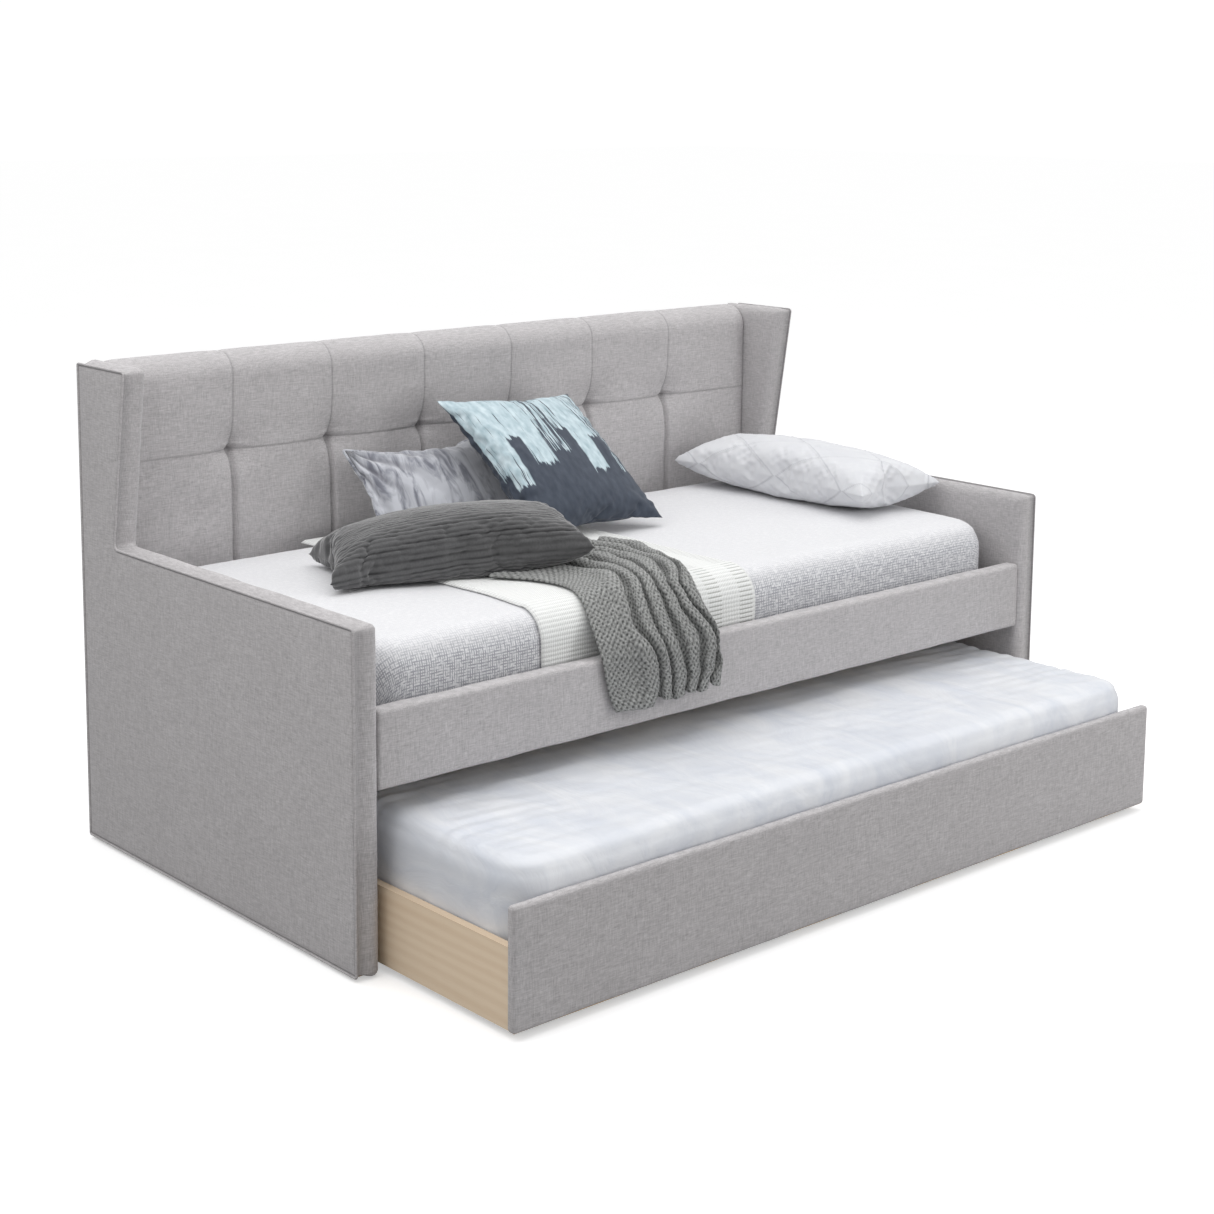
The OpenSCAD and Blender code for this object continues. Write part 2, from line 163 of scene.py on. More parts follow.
def rounded_outline(corners, radii, counts, arc=6):
    """Points round a closed outline with each corner rounded to its radius.

    Also gives each point's outward normal.  The corners run anticlockwise, and
    counts are the steps along each edge, so that two outlines can be joined.
    """
    corners = np.asarray(corners, float)
    n = len(corners)
    ends = []
    for i in range(n):
        p, a, b = corners[i], corners[i - 1], corners[(i + 1) % n]
        u, v = (a - p) / np.linalg.norm(a - p), (b - p) / np.linalg.norm(b - p)
        half = math.acos(np.clip(u @ v, -1, 1)) / 2
        cut = radii[i] / math.tan(half)
        centre = p + (u + v) / np.linalg.norm(u + v) * radii[i] / math.sin(half)
        turn = u[1] * v[0] - u[0] * v[1]
        ends.append((p + u * cut, p + v * cut, centre, 1.0 if turn > 0 else -1.0))
    points, normals = [], []
    for i in range(n):
        start, stop, centre, sign = ends[i]
        a0 = math.atan2(*(start - centre)[::-1])
        a1 = math.atan2(*(stop - centre)[::-1])
        sweep = (a1 - a0 + math.pi) % (2 * math.pi) - math.pi
        for k in range(arc + 1):
            angle = a0 + sweep * k / arc
            radial = np.array([math.cos(angle), math.sin(angle)])
            points.append(centre + radial * radii[i])
            normals.append(radial * sign)
        along = ends[(i + 1) % n][0] - stop
        normal = np.array([along[1], -along[0]]) / np.linalg.norm(along)
        for k in range(1, counts[i]):
            points.append(stop + along * k / counts[i])
            normals.append(normal)
    return np.array(points), np.array(normals)


# ------------------------------------------------------------ material helpers

class Shader:
    """A Principled material, with short calls for the nodes it is built from."""

    def __init__(self, name, roughness=0.8, sheen=0.0, specular=0.3, metallic=0.0):
        self.material = bpy.data.materials.new(name)
        self.material.use_nodes = True
        self.nodes = self.material.node_tree.nodes
        self.links = self.material.node_tree.links
        self.put("Roughness", roughness)
        self.put("Specular IOR Level", specular)
        self.put("Metallic", metallic)
        self.put("Sheen Weight", sheen)

    def join(self, socket, value):
        """Give an input a number or colour, or a link from an output."""
        if isinstance(value, bpy.types.NodeSocket):
            self.links.new(value, socket)
        else:
            socket.default_value = value

    def put(self, socket, value):
        self.join(self.nodes["Principled BSDF"].inputs[socket], value)

    def node(self, kind, inputs=(), **properties):
        node = self.nodes.new(kind)
        for key, value in properties.items():
            setattr(node, key, value)
        for key, value in dict(inputs).items():
            self.join(node.inputs[key], value)
        return node

    def place(self, scale=(1, 1, 1), rotation=(0, 0, 0), source=None):
        """The object's coordinates in metres times scale, or those of another source."""
        source = source or self.node("ShaderNodeTexCoord").outputs["Object"]
        return self.node("ShaderNodeMapping", {"Vector": source, "Scale": scale,
                                               "Rotation": rotation}).outputs["Vector"]

    def cloth(self, scale=(1, 1, 1), rotation=(0, 0, 0)):
        """Coordinates in the flat cloth, in metres times scale."""
        stored = self.node("ShaderNodeAttribute", attribute_name="cloth").outputs["Vector"]
        return self.place(scale, rotation, stored)

    def cloth_axes(self):
        return self.node("ShaderNodeSeparateXYZ", {0: self.cloth()}).outputs

    def value(self, attribute):
        """A number stored on the mesh, 0 where it has none."""
        return self.node("ShaderNodeAttribute", attribute_name=attribute).outputs["Fac"]

    def noise(self, vector, scale=1.0, detail=2.0, roughness=0.5, distortion=0.0):
        return self.node("ShaderNodeTexNoise", {
            "Vector": vector, "Scale": scale, "Detail": detail,
            "Roughness": roughness, "Distortion": distortion}).outputs["Fac"]

    def wave(self, vector, scale, axis="X", distortion=0.0, detail=0.0, detail_scale=1.0):
        return self.node("ShaderNodeTexWave", {
            "Vector": vector, "Scale": scale, "Distortion": distortion,
            "Detail": detail, "Detail Scale": detail_scale},
            bands_direction=axis).outputs["Fac"]

    def math(self, operation, a, b=0.0):
        return self.node("ShaderNodeMath", {0: a, 1: b}, operation=operation).outputs[0]

    def times(self, a, b):
        return self.math("MULTIPLY", a, b)

    def plus(self, a, b):
        return self.math("ADD", a, b)

    def spread(self, value, low, high, to_low=0.0, to_high=1.0):
        """value mapped from low..high to to_low..to_high, and clamped."""
        return self.node("ShaderNodeMapRange", {
            "Value": value, "From Min": low, "From Max": high,
            "To Min": to_low, "To Max": to_high}).outputs[0]

    def mix(self, factor, a, b):
        """Colour a turning to b as factor goes from 0 to 1."""
        a, b = (c if isinstance(c, bpy.types.NodeSocket) else (*c, 1.0) for c in (a, b))
        return self.node("ShaderNodeMix", {0: factor, 6: a, 7: b}, data_type="RGBA").outputs[2]

    def tint(self, under, value, low, high, over, most=1.0):
        """Colour under, with up to most of over on it as value goes from low to high."""
        return self.mix(self.spread(value, low, high, 0.0, most), under, over)

    def bump(self, height, distance, strength, under=None):
        """Normals of a height whose full swing is distance, in mm."""
        inputs = {"Height": height, "Distance": distance * MM, "Strength": strength}
        if under is not None:
            inputs["Normal"] = under
        return self.node("ShaderNodeBump", inputs).outputs["Normal"]

    def done(self, colour, normal):
        self.put("Base Color", colour)
        self.put("Normal", normal)
        return self.material


def srgb(r, g, b):
    """Linear colour of an sRGB triple from 0 to 255."""
    def one(c):
        c /= 255
        return c / 12.92 if c <= 0.04045 else ((c + 0.055) / 1.055) ** 2.4
    return (one(r), one(g), one(b))


# ------------------------------------------------------------------- materials

def heathered_weave(name):
    """Flat upholstery weave with slubs along both thread directions."""
    s = Shader(name, roughness=0.9, sheen=0.25, specular=0.2)
    across, down = (s.noise(s.place(scale), detail=3, roughness=0.65)
                    for scale in ((55, 55, 620), (620, 620, 55)))
    threads = s.plus(s.times(across, 0.5), s.times(down, 0.5))
    cloud = s.noise(s.place(), scale=7.0)
    colour = s.tint(srgb(152, 149, 150), threads, 0.33, 0.67, srgb(205, 202, 203))
    colour = s.tint(colour, cloud, 0.35, 0.65, srgb(160, 157, 158), 0.12)
    # Painted shade in the welt grooves, the seam grooves and the tuft pinches, from the shade value on
    # the mesh
    colour = s.mix(s.times(s.value("seam"), 0.66), colour, srgb(66, 64, 65))
    return s.done(colour, s.bump(threads, 0.6, 0.55))


def softwood(name):
    """Clear-lacquered pale softwood, its grain along Y like the slats and side boards."""
    s = Shader(name, roughness=0.5, specular=0.35)
    rings = s.wave(s.place((9, 0.9, 10)), 1.3, "Z", distortion=5.0, detail=2.5, detail_scale=0.6)
    pores = s.noise(s.place((900, 22, 900)))
    patches = s.noise(s.place((4, 1.0, 5)))
    colour = s.tint(srgb(232, 211, 184), rings, 0.1, 0.95, srgb(218, 192, 162), 0.5)
    colour = s.tint(colour, patches, 0.35, 0.7, srgb(238, 221, 197), 0.35)
    colour = s.tint(colour, pores, 0.55, 0.75, srgb(200, 172, 142), 0.25)
    s.put("Roughness", s.spread(pores, 0.4, 0.7, 0.42, 0.6))
    return s.done(colour, s.bump(s.plus(rings, pores), 0.15, 0.35))


def plywood(name):
    s = Shader(name, roughness=0.7, specular=0.25)
    plies = s.wave(s.place((0, 0, 1)), 110, "Z", distortion=0.4)
    grain = s.noise(s.place((10, 60, 60)), scale=2.0, detail=4)
    colour = s.tint(srgb(206, 178, 136), plies, 0.3, 0.8, srgb(160, 126, 86), 0.4)
    colour = s.tint(colour, grain, 0.4, 0.7, srgb(184, 150, 108), 0.5)
    return s.done(colour, s.bump(grain, 0.2, 0.4))


def plated_metal(name, colour, roughness):
    s = Shader(name, roughness=roughness, specular=0.5, metallic=1.0)
    scratches = s.noise(s.place((40, 900, 900)), detail=3)
    blotch = s.noise(s.place(), scale=60, detail=3)
    s.put("Roughness", s.spread(scratches, 0.3, 0.7, roughness - 0.08, roughness + 0.15))
    dull = tuple(0.7 * c for c in colour)
    return s.done(s.tint(colour, blotch, 0.35, 0.7, dull, 0.4), s.bump(scratches, 0.05, 0.4))


def moulded_plastic(name, colour, roughness):
    s = Shader(name, roughness=roughness, specular=0.45)
    grain = s.noise(s.place(), scale=2600)
    scuffs = s.noise(s.place(), scale=90, detail=4)
    s.put("Roughness", s.spread(scuffs, 0.3, 0.7, roughness - 0.1, roughness + 0.12))
    worn = tuple(1.9 * c + 0.02 for c in colour)
    return s.done(s.tint(colour, scuffs, 0.5, 0.75, worn, 0.35), s.bump(grain, 0.1, 0.3))


def flat_webbing(name):
    s = Shader(name, roughness=0.85, sheen=0.15)
    twill = s.wave(s.place(rotation=(0, 0, 0.78)), 180, distortion=0.3)
    fuzz = s.noise(s.place(), scale=700)
    colour = s.tint(srgb(196, 196, 190), twill, 0.2, 0.8, srgb(224, 224, 218))
    return s.done(colour, s.bump(s.plus(twill, fuzz), 0.3, 0.6))


def mattress_ticking(name):
    """Knitted cover with a quilted diamond pattern."""
    s = Shader(name, roughness=0.85, sheen=0.15)
    one, two = (s.math("POWER", s.wave(s.place(rotation=(0, 0, 0.785)), 4.0, axis), 0.4)
                for axis in "XY")
    knit = s.noise(s.place(), scale=900)
    colour = s.tint(srgb(222, 222, 220), knit, 0.3, 0.7, srgb(238, 238, 236))
    return s.done(colour, s.bump(knit, 0.3, 0.5, s.bump(s.times(one, two), 3, 0.7)))


def cross_hatched_linen(name):
    """Coarse coverlet weave: white warp with grey-lavender weft slubs."""
    s = Shader(name, roughness=0.9, sheen=0.2, specular=0.2)
    across, along = (s.noise(s.cloth(scale), roughness=0.6)
                     for scale in ((60, 200, 1), (200, 60, 1)))
    weft = s.wave(s.cloth(), 50, "Y", distortion=0.8)
    warp = s.wave(s.cloth(), 54, "X", distortion=0.8)
    dark = s.math("MAXIMUM",
                  s.times(s.spread(weft, 0.25, 0.75), s.spread(across, 0.40, 0.55)),
                  s.times(s.spread(warp, 0.25, 0.75), s.spread(along, 0.38, 0.53)))
    # The weft hatch is drawn faint on top, a painted highlight, and strong where the cloth
    # turns down over the edge, painted shade down the sides
    side_weight = s.spread(s.cloth_axes()[2], 0.0, 0.05, 0.16, 0.78)
    colour = s.mix(s.times(dark, side_weight), srgb(225, 225, 227), srgb(134, 136, 146))
    return s.done(colour, s.bump(s.plus(across, along), 0.8, 0.5))


def satin_sheet(name):
    """Smooth pale sheet with faint streaks."""
    s = Shader(name, roughness=0.42, sheen=0.15, specular=0.4)
    streaks = s.noise(s.cloth((9, 4, 6), (0, 0, 0.9)), detail=5, roughness=0.62, distortion=0.8)
    fine = s.noise(s.cloth((900, 900, 900)), detail=1)
    colour = s.tint(srgb(224, 226, 230), streaks, 0.38, 0.66, srgb(207, 211, 219))
    s.put("Roughness", s.spread(streaks, 0.35, 0.7, 0.36, 0.5))
    return s.done(colour, s.bump(fine, 0.1, 0.3, s.bump(streaks, 7, 0.5)))


def ribbed_knit(name):
    """Off-white knit with shadowed valleys, and two columns of dark stitches."""
    s = Shader(name, roughness=0.9, sheen=0.2, specular=0.2)
    relief, across = s.value("relief"), s.cloth_axes()[0]
    stitches = s.wave(s.cloth(), 62, distortion=0.4)
    fuzz = s.noise(s.cloth(), scale=420)
    colour = s.tint(srgb(226, 227, 225), fuzz, 0.3, 0.7, srgb(236, 237, 236))
    # Painted shade in the valleys between the ribs
    colour = s.tint(colour, relief, 0.75, 0.25, srgb(160, 161, 161), 0.25)
    near = [s.spread(s.math("ABSOLUTE", s.plus(across, -place)), 0.019, 0.022, 1.0, 0.0)
            for place in (0.195, 0.293)]
    dark = s.times(s.math("MAXIMUM", *near), s.spread(relief, 0.6, 0.25, 0.0, 0.7))
    colour = s.mix(dark, colour, srgb(112, 112, 107))
    return s.done(colour, s.bump(s.plus(stitches, fuzz), 0.8, 0.6))


def moss_knit(name):
    """Grey marled yarn, with painted shade nearly black between the stitches."""
    s = Shader(name, roughness=0.95, sheen=0.3, specular=0.15)
    marl = s.noise(s.cloth(), scale=170, detail=3, roughness=0.7)
    fibre = s.noise(s.cloth(), scale=900)
    colour = s.tint(srgb(98, 99, 98), marl, 0.30, 0.70, srgb(180, 181, 179))
    # Painted shade between the stitches
    colour = s.tint(colour, s.value("relief"), 0.55, 0.05, srgb(43, 44, 44), 0.85)
    return s.done(colour, s.bump(s.plus(marl, s.times(fibre, 0.6)), 2.0, 0.7))


def crinkled_corduroy(name):
    """Charcoal cord, with painted shade in its valleys and a painted highlight on its ridges."""
    s = Shader(name, roughness=0.8, sheen=0.6, specular=0.25)
    nap = s.noise(s.cloth(), scale=260, detail=3)
    crush = s.noise(s.cloth((14, 40, 1)), detail=3, distortion=0.6)
    # Painted shade in the cord valleys and a painted highlight on the ridges, by the relief value
    colour = s.tint(srgb(25, 25, 26), s.value("relief"), 0.1, 0.9, srgb(86, 86, 87))
    colour = s.tint(colour, crush, 0.45, 0.72, srgb(102, 102, 103), 0.3)
    colour = s.tint(colour, nap, 0.4, 0.7, srgb(52, 52, 55), 0.3)
    return s.done(colour, s.bump(s.plus(nap, crush), 1.2, 0.5))


def crushed_velvet(name):
    """Silvery velvet, its crushed pile in streaks of painted sheen, and painted shade in its folds."""
    s = Shader(name, roughness=0.55, sheen=0.8, specular=0.35)
    streaks = s.noise(s.cloth((26, 8, 9), (0, 0, -0.6)), detail=4, roughness=0.6, distortion=0.9)
    pile = s.noise(s.cloth(), scale=700)
    # The pile lies crushed in streaks; their light and dark is painted sheen
    colour = s.tint(srgb(104, 106, 117), streaks, 0.38, 0.56, srgb(182, 184, 191))
    # Painted shade in the troughs of the folds
    colour = s.tint(colour, s.value("relief"), 0.5, 0.05, srgb(84, 84, 93), 0.8)
    # Painted shade at the corner where the folds gather
    colour = s.mix(s.value("seam"), colour, srgb(58, 58, 62))
    s.put("Roughness", s.spread(streaks, 0.35, 0.65, 0.62, 0.42))
    return s.done(colour, s.bump(pile, 0.2, 0.4, s.bump(streaks, 2, 0.35)))


def brushed_print(name):
    """Slate cotton with pale strokes pulled down from its upper edge."""
    s = Shader(name, roughness=0.75, sheen=0.15, specular=0.25)
    across, up, _ = s.cloth_axes()
    hairs = s.noise(s.cloth((150, 6, 1)), detail=3, roughness=0.6)
    ragged = s.noise(s.cloth((60, 30, 1)))
    wobble = s.times(s.plus(ragged, -0.5), 0.035)
    across = s.plus(across, s.times(wobble, 0.25))
    ends = s.plus(s.plus(up, wobble), s.times(s.plus(hairs, -0.5), 0.05))
    paint = 0.0
    # Left edge, right edge and lower end of each stroke, and how dry the brush was
    for left, right, low, dry in ((-0.25, -0.19, -0.06, 0.45), (-0.20, -0.148, -0.10, 0.2),
                                  (-0.25, -0.04, 0.035, 0.15), (-0.108, -0.045, -0.055, 0.1),
                                  (-0.05, 0.02, -0.02, 0.85), (-0.05, 0.21, 0.085, 0.7),
                                  (0.02, 0.06, 0.05, 0.6), (0.055, 0.108, -0.085, 0.08),
                                  (0.105, 0.15, 0.02, 0.4), (0.15, 0.212, -0.085, 0.85)):
        inside = s.times(s.spread(across, left - 0.002, left + 0.002),
                         s.spread(across, right - 0.002, right + 0.002, 1.0, 0.0))
        body = s.times(inside, s.spread(ends, low - 0.003, low + 0.003))
        gaps = s.spread(hairs, 0.30 + 0.22 * dry, 0.36 + 0.22 * dry)
        paint = s.math("MAXIMUM", paint, s.times(body, gaps))
    paint = s.times(paint, s.value("front"))
    tint = s.tint(srgb(154, 175, 183), ragged, 0.3, 0.7, srgb(196, 211, 217))
    slate = s.tint(srgb(56, 63, 75), ragged, 0.3, 0.7, srgb(70, 77, 89))
    weave = s.noise(s.cloth(), scale=800)
    s.put("Roughness", s.spread(paint, 0.0, 1.0, 0.8, 0.6))
    return s.done(s.mix(paint, slate, tint),
                  s.bump(s.plus(weave, s.times(paint, 0.6)), 0.25, 0.5))


def pintucked_cotton(name):
    """Crisp pale cotton, shaded along its tucks."""
    s = Shader(name, roughness=0.75, sheen=0.15, specular=0.25)
    weave = s.noise(s.cloth(), scale=900)
    crumple = s.noise(s.cloth((14, 14, 14)), detail=3)
    colour = s.tint(srgb(210, 211, 215), crumple, 0.35, 0.65, srgb(216, 217, 220))
    # Painted shade just beside each tuck
    colour = s.mix(s.times(s.value("seam"), 0.42), colour, srgb(128, 129, 139))
    return s.done(colour, s.bump(weave, 0.15, 0.5, s.bump(crumple, 2, 0.15)))


UPHOLSTERY = heathered_weave("upholstery_weave")
PINE = softwood("pine_softwood")
PLY = plywood("plywood_core")
ZINC = plated_metal("zinc_plate", (0.62, 0.63, 0.65), 0.38)
BRASS = plated_metal("brass_insert", (0.68, 0.49, 0.2), 0.35)
AXLE = plated_metal("turned_steel", (0.66, 0.66, 0.67), 0.25)
GLIDE = moulded_plastic("glide_plastic", (0.03, 0.03, 0.03), 0.5)
WHEEL = moulded_plastic("wheel_plastic", (0.025, 0.025, 0.028), 0.45)
WEBBING = flat_webbing("slat_webbing")
TICKING = mattress_ticking("mattress_ticking")
LINEN = cross_hatched_linen("coverlet_linen")
SATIN = satin_sheet("trundle_satin")
RIB_KNIT = ribbed_knit("runner_rib_knit")
MOSS = moss_knit("throw_moss_knit")
CORDUROY = crinkled_corduroy("charcoal_cord")
VELVET = crushed_velvet("grey_velvet")
PRINT = brushed_print("teal_print")
PINTUCK = pintucked_cotton("white_pintuck")

# CAD nodes that stay as they are, with the material of their slot
KEPT = {
    "plywood": PLY, "pine": PINE, "zinc_steel": ZINC, "brass_insert": BRASS,
    "glide_plastic": GLIDE, "webbing": WEBBING, "axle_steel": AXLE,
    "wheel_plastic": WHEEL,
}
SLOT_OF = {row["node"]: row["material_slot"] for row in frame["record"]["subparts"]}
for node_name, node_object in frame["nodes"].items():
    kept = KEPT.get(SLOT_OF[node_name])
    if kept:
        for material_slot in node_object.material_slots:
            material_slot.material = kept


# ----------------------------------------------------------------- side panels

def side_panel(name, cover, sign, seed):
    """Padded panel with a welt seam round its outer face and a soft inner edge."""
    low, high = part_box(cover)
    outer = high.x if sign > 0 else low.x
    arm, wing_top, wing_base = 0.715, 0.214, 0.154
    corners = [(low.y, low.z), (high.y, low.z), (high.y, high.z),
               (high.y - wing_top, high.z), (high.y - wing_base, arm), (low.y, arm)]
    radii = [8 * MM, 8 * MM, 8 * MM, 10 * MM, 10 * MM, 11 * MM]
    # Distance in from the outline and depth from the outer face, in mm
    profile = [(60, 0), (36, -0.2), (22, 0), (14, 0.3), (10.5, 0.9), (8.6, 2.2), (7.4, 2.6),
               (6.2, 1.9), (5.2, 0.2), (4.2, -0.9), (3.0, -1.2), (1.8, -0.7), (0.9, 0.5),
               (0.6, 2.0), (1.0, 3.4), (2.4, 4.2), (3.8, 5.6), (5.6, 8), (6.0, 13), (4.2, 21),
               (0.7, 29), (-2.0, 37), (-2.3, 44), (0.9, 50.5), (6.3, 55.8), (13.5, 58.9),
               (22, 60.0), (36, 60.3), (60, 60)]
    # Painted shade in the groove on either side of the welt and on the band just beside it
    seam_at = {5: 0.35, 6: 1.0, 7: 0.4, 14: 0.5, 15: 0.95, 16: 0.5, 17: 0.28, 18: 0.2, 19: 0.1}
    counts = edge_counts(corners, 18 * MM)
    verts, seam = [], []
    for k, (inset, depth) in enumerate(profile):
        # Convex corners tighten as the ring moves in, and the concave one opens
        turned = [max(r - inset * MM, 0.6 * MM) if i != 4 else r + inset * MM
                  for i, r in enumerate(radii)]
        ring, _ = rounded_outline(inset_outline(corners, inset * MM), turned, counts)
        verts.append(np.column_stack([np.full(len(ring), outer - sign * depth * MM), ring]))
        seam.append(np.full(len(ring), seam_at.get(k, 0.0)))
    verts, seam = np.vstack(verts), np.concatenate(seam)
    # Foam never pulls quite true: a slow wander of the padded edge band
    wander = unevenness(verts.T, seed, (0.16, 0.9), (0.05, 0.25))
    depth = np.abs(outer - verts[:, 0]) / (high.x - low.x)
    away = unit(verts[:, 1:] - ((low.y + high.y) / 2, 0.45))
    wander *= np.clip((depth - 0.1) * 4, 0, 1) * (verts[:, 2] >= low.z + 20 * MM)
    verts[:, 1:] += away * wander[:, None]
    verts[:, 2] = np.maximum(verts[:, 2], low.z - 0.6 * MM)
    faces = capped_tube(len(profile), len(ring))
    if sign < 0:
        faces = [f[::-1] for f in faces]
    make_piece(name, verts, faces, UPHOLSTERY, "frame", "upholstery", (cover,), seam=seam)


def inset_outline(corners, inset):
    """The polygon moved in by inset on every edge, with its corners mitred."""
    corners = np.asarray(corners, float)
    n, out = len(corners), []
    for i in range(n):
        before = corners[i] - corners[i - 1]
        after = corners[(i + 1) % n] - corners[i]
        n1 = np.array([-before[1], before[0]]) / np.linalg.norm(before)
        n2 = np.array([-after[1], after[0]]) / np.linalg.norm(after)
        out.append(corners[i] + (n1 + n2) * inset / (1 + n1 @ n2))
    return out


side_panel("left_side_upholstery", "left_side_cover", -1, 11)
side_panel("right_side_upholstery", "right_side_cover", 1, 23)


# ------------------------------------------------------------------- back rest

TUFT_X = [-0.705, -0.423, -0.141, 0.141, 0.423, 0.705]
TUFT_Z = 0.890


def back_rest():
    """Tufted back: six pinches on a cross seam, with a seam over the top at each."""
    low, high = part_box("back_cover")
    front, rear, top, bottom = low.y, high.y, high.z, low.z
    step_y, step_z = 1.020 - 0.335, 0.455      # thin cover below the padding
    roll, rear_roll = 55 * MM, 10 * MM
    path, normals = [], []

    def line(a, b, count, n):
        for k in range(count):
            path.append(np.array(a) + (np.array(b) - np.array(a)) * k / count)
            normals.append(n)

    def arc(centre, radius, start, stop, count):
        for k in range(count):
            t = math.radians(start + (stop - start) * k / count)
            path.append(np.array(centre) + radius * np.array([math.cos(t), math.sin(t)]))
            normals.append((math.cos(t), math.sin(t)))

    line((rear, bottom), (rear, top - rear_roll), 14, (1, 0))
    arc((rear - rear_roll, top - rear_roll), rear_roll, 0, 90, 4)
    line((rear - rear_roll, top), (front + roll, top), 5, (0, 1))
    arc((front + roll, top - roll), roll, 90, 180, 14)
    first_front = len(path)
    for z in graded(-(top - roll), -(step_z + 12 * MM), [-TUFT_Z], 2.6 * MM, 11 * MM, 26 * MM):
        path.append(np.array([front, -z]))
        normals.append((-1, 0))
    arc((front + 12 * MM, step_z + 12 * MM), 12 * MM, 180, 270, 4)
    line((front + 12 * MM, step_z), (step_y, step_z), 2, (0, -1))
    line((step_y, step_z), (step_y, bottom), 6, (-1, 0))
    line((step_y, bottom), (step_y, bottom), 1, (-1, 0))
    path, normals = np.array(path), np.array(normals, float)

    # Height above the tuft line, measured along the cover and over the top
    step = lengths_along(path)
    level = step[first_front] + (top - roll - TUFT_Z) - step
    xs = graded(low.x, high.x, TUFT_X + [low.x, high.x], 2.6 * MM, 11 * MM, 20 * MM)
    x, lv = np.meshgrid(xs, level)
    padded = np.clip((step - (step[first_front] - 0.115)) / 0.05, 0, 1)
    padded[first_front:] = path[first_front:, 1] > step_z + 1e-4

    edges = np.array([low.x] + TUFT_X + [high.x])
    cell = np.clip(np.searchsorted(edges, x) - 1, 0, len(edges) - 2)
    xi = (x - edges[cell]) / (edges[cell + 1] - edges[cell]) * 2 - 1
    zeta = np.clip(1 - np.where(lv > 0, lv / 0.255, -lv / 0.22), -1, 1)
    crowned = (3.0 + 2.5 * np.clip(lv / (30 * MM) + 0.5, 0, 1)) * MM
    out = crowned * (1 - np.abs(xi) ** 6) * (1 - np.abs(zeta) ** 8 * 0.6)
    seam = np.zeros_like(out)
    for tx in TUFT_X:
        dx = x - tx
        r = np.hypot(dx * 0.8, lv * 1.15)
        out -= 34 * MM * np.exp(-r / (17 * MM)) + 8 * MM * np.exp(-(r / (65 * MM)) ** 2)
        # A valley opens upward from the pinch, and the upper pad folds over beside it
        above = np.clip(lv, 0, None)
        out -= 13 * MM * np.exp(-(dx / (7 * MM + 0.5 * above)) ** 2 - above / (34 * MM))
        fold = np.exp(-(dx / (34 * MM)) ** 2) * np.exp(-((lv - 11 * MM) / (7 * MM)) ** 2)
        out += 6.5 * MM * fold
        line_depth = 1.5 * MM * (0.6 + 1.8 * np.exp(-np.abs(lv) / (60 * MM)))
        faint = np.where(lv > 0, 1.0, 0.45)
        out -= line_depth * faint * np.exp(-(dx / (3.0 * MM)) ** 2)
        # Painted shade along the seam groove above and below each tuft, and in the pinch itself
        seam = np.maximum(seam, np.exp(-(dx / (1.9 * MM)) ** 2) * 0.55 * faint)
        seam = np.maximum(seam, np.exp(-(r / (6 * MM)) ** 2) * 0.9)
    nearest = np.min([np.abs(x - tx) for tx in TUFT_X], axis=0)
    cross = 0.6 * MM + 1.6 * MM * np.exp(-nearest / (40 * MM))
    out -= cross * np.exp(-(lv / (3.2 * MM)) ** 2)
    # The upper pad stands a little proud of the lower one along the seam
    out += 2.0 * MM * np.exp(-np.maximum(lv, 0) / (22 * MM)) * (lv > 0)
    # Painted shade along the cross seam, strongest near the tufts
    seam = np.maximum(seam, np.exp(-(lv / (1.9 * MM)) ** 2)
                      * (0.16 + 0.3 * np.exp(-nearest / (60 * MM))))
    # The pad falls away to the board where it meets the wings
    side = np.clip((np.abs(x) - (high.x - 12 * MM)) / (12 * MM), 0, 1)
    out -= 7 * MM * (1 - np.sqrt(1 - 0.97 * side ** 2))
    out = np.maximum(out, -38 * MM)            # the board is behind the pinches
    out += unevenness((x, lv), 3, (0.22, 1.2), (0.07, 0.45))
    out *= padded[:, None]
    seam *= padded[:, None]
    verts = np.dstack([x, path[:, None] + normals[:, None] * out[..., None]])
    rows, cols = x.shape
    ends = [list(range(0, rows * cols, cols)), list(range(rows * cols - 1, 0, -cols))]
    make_piece("back_rest_upholstery", verts.reshape(-1, 3),
               grid_faces(rows, cols, close_rows=True) + ends, UPHOLSTERY, "frame", "upholstery",
               ("back_cover",), seam=seam.ravel())


back_rest()


# ------------------------------------------------- padded boards: rail and front

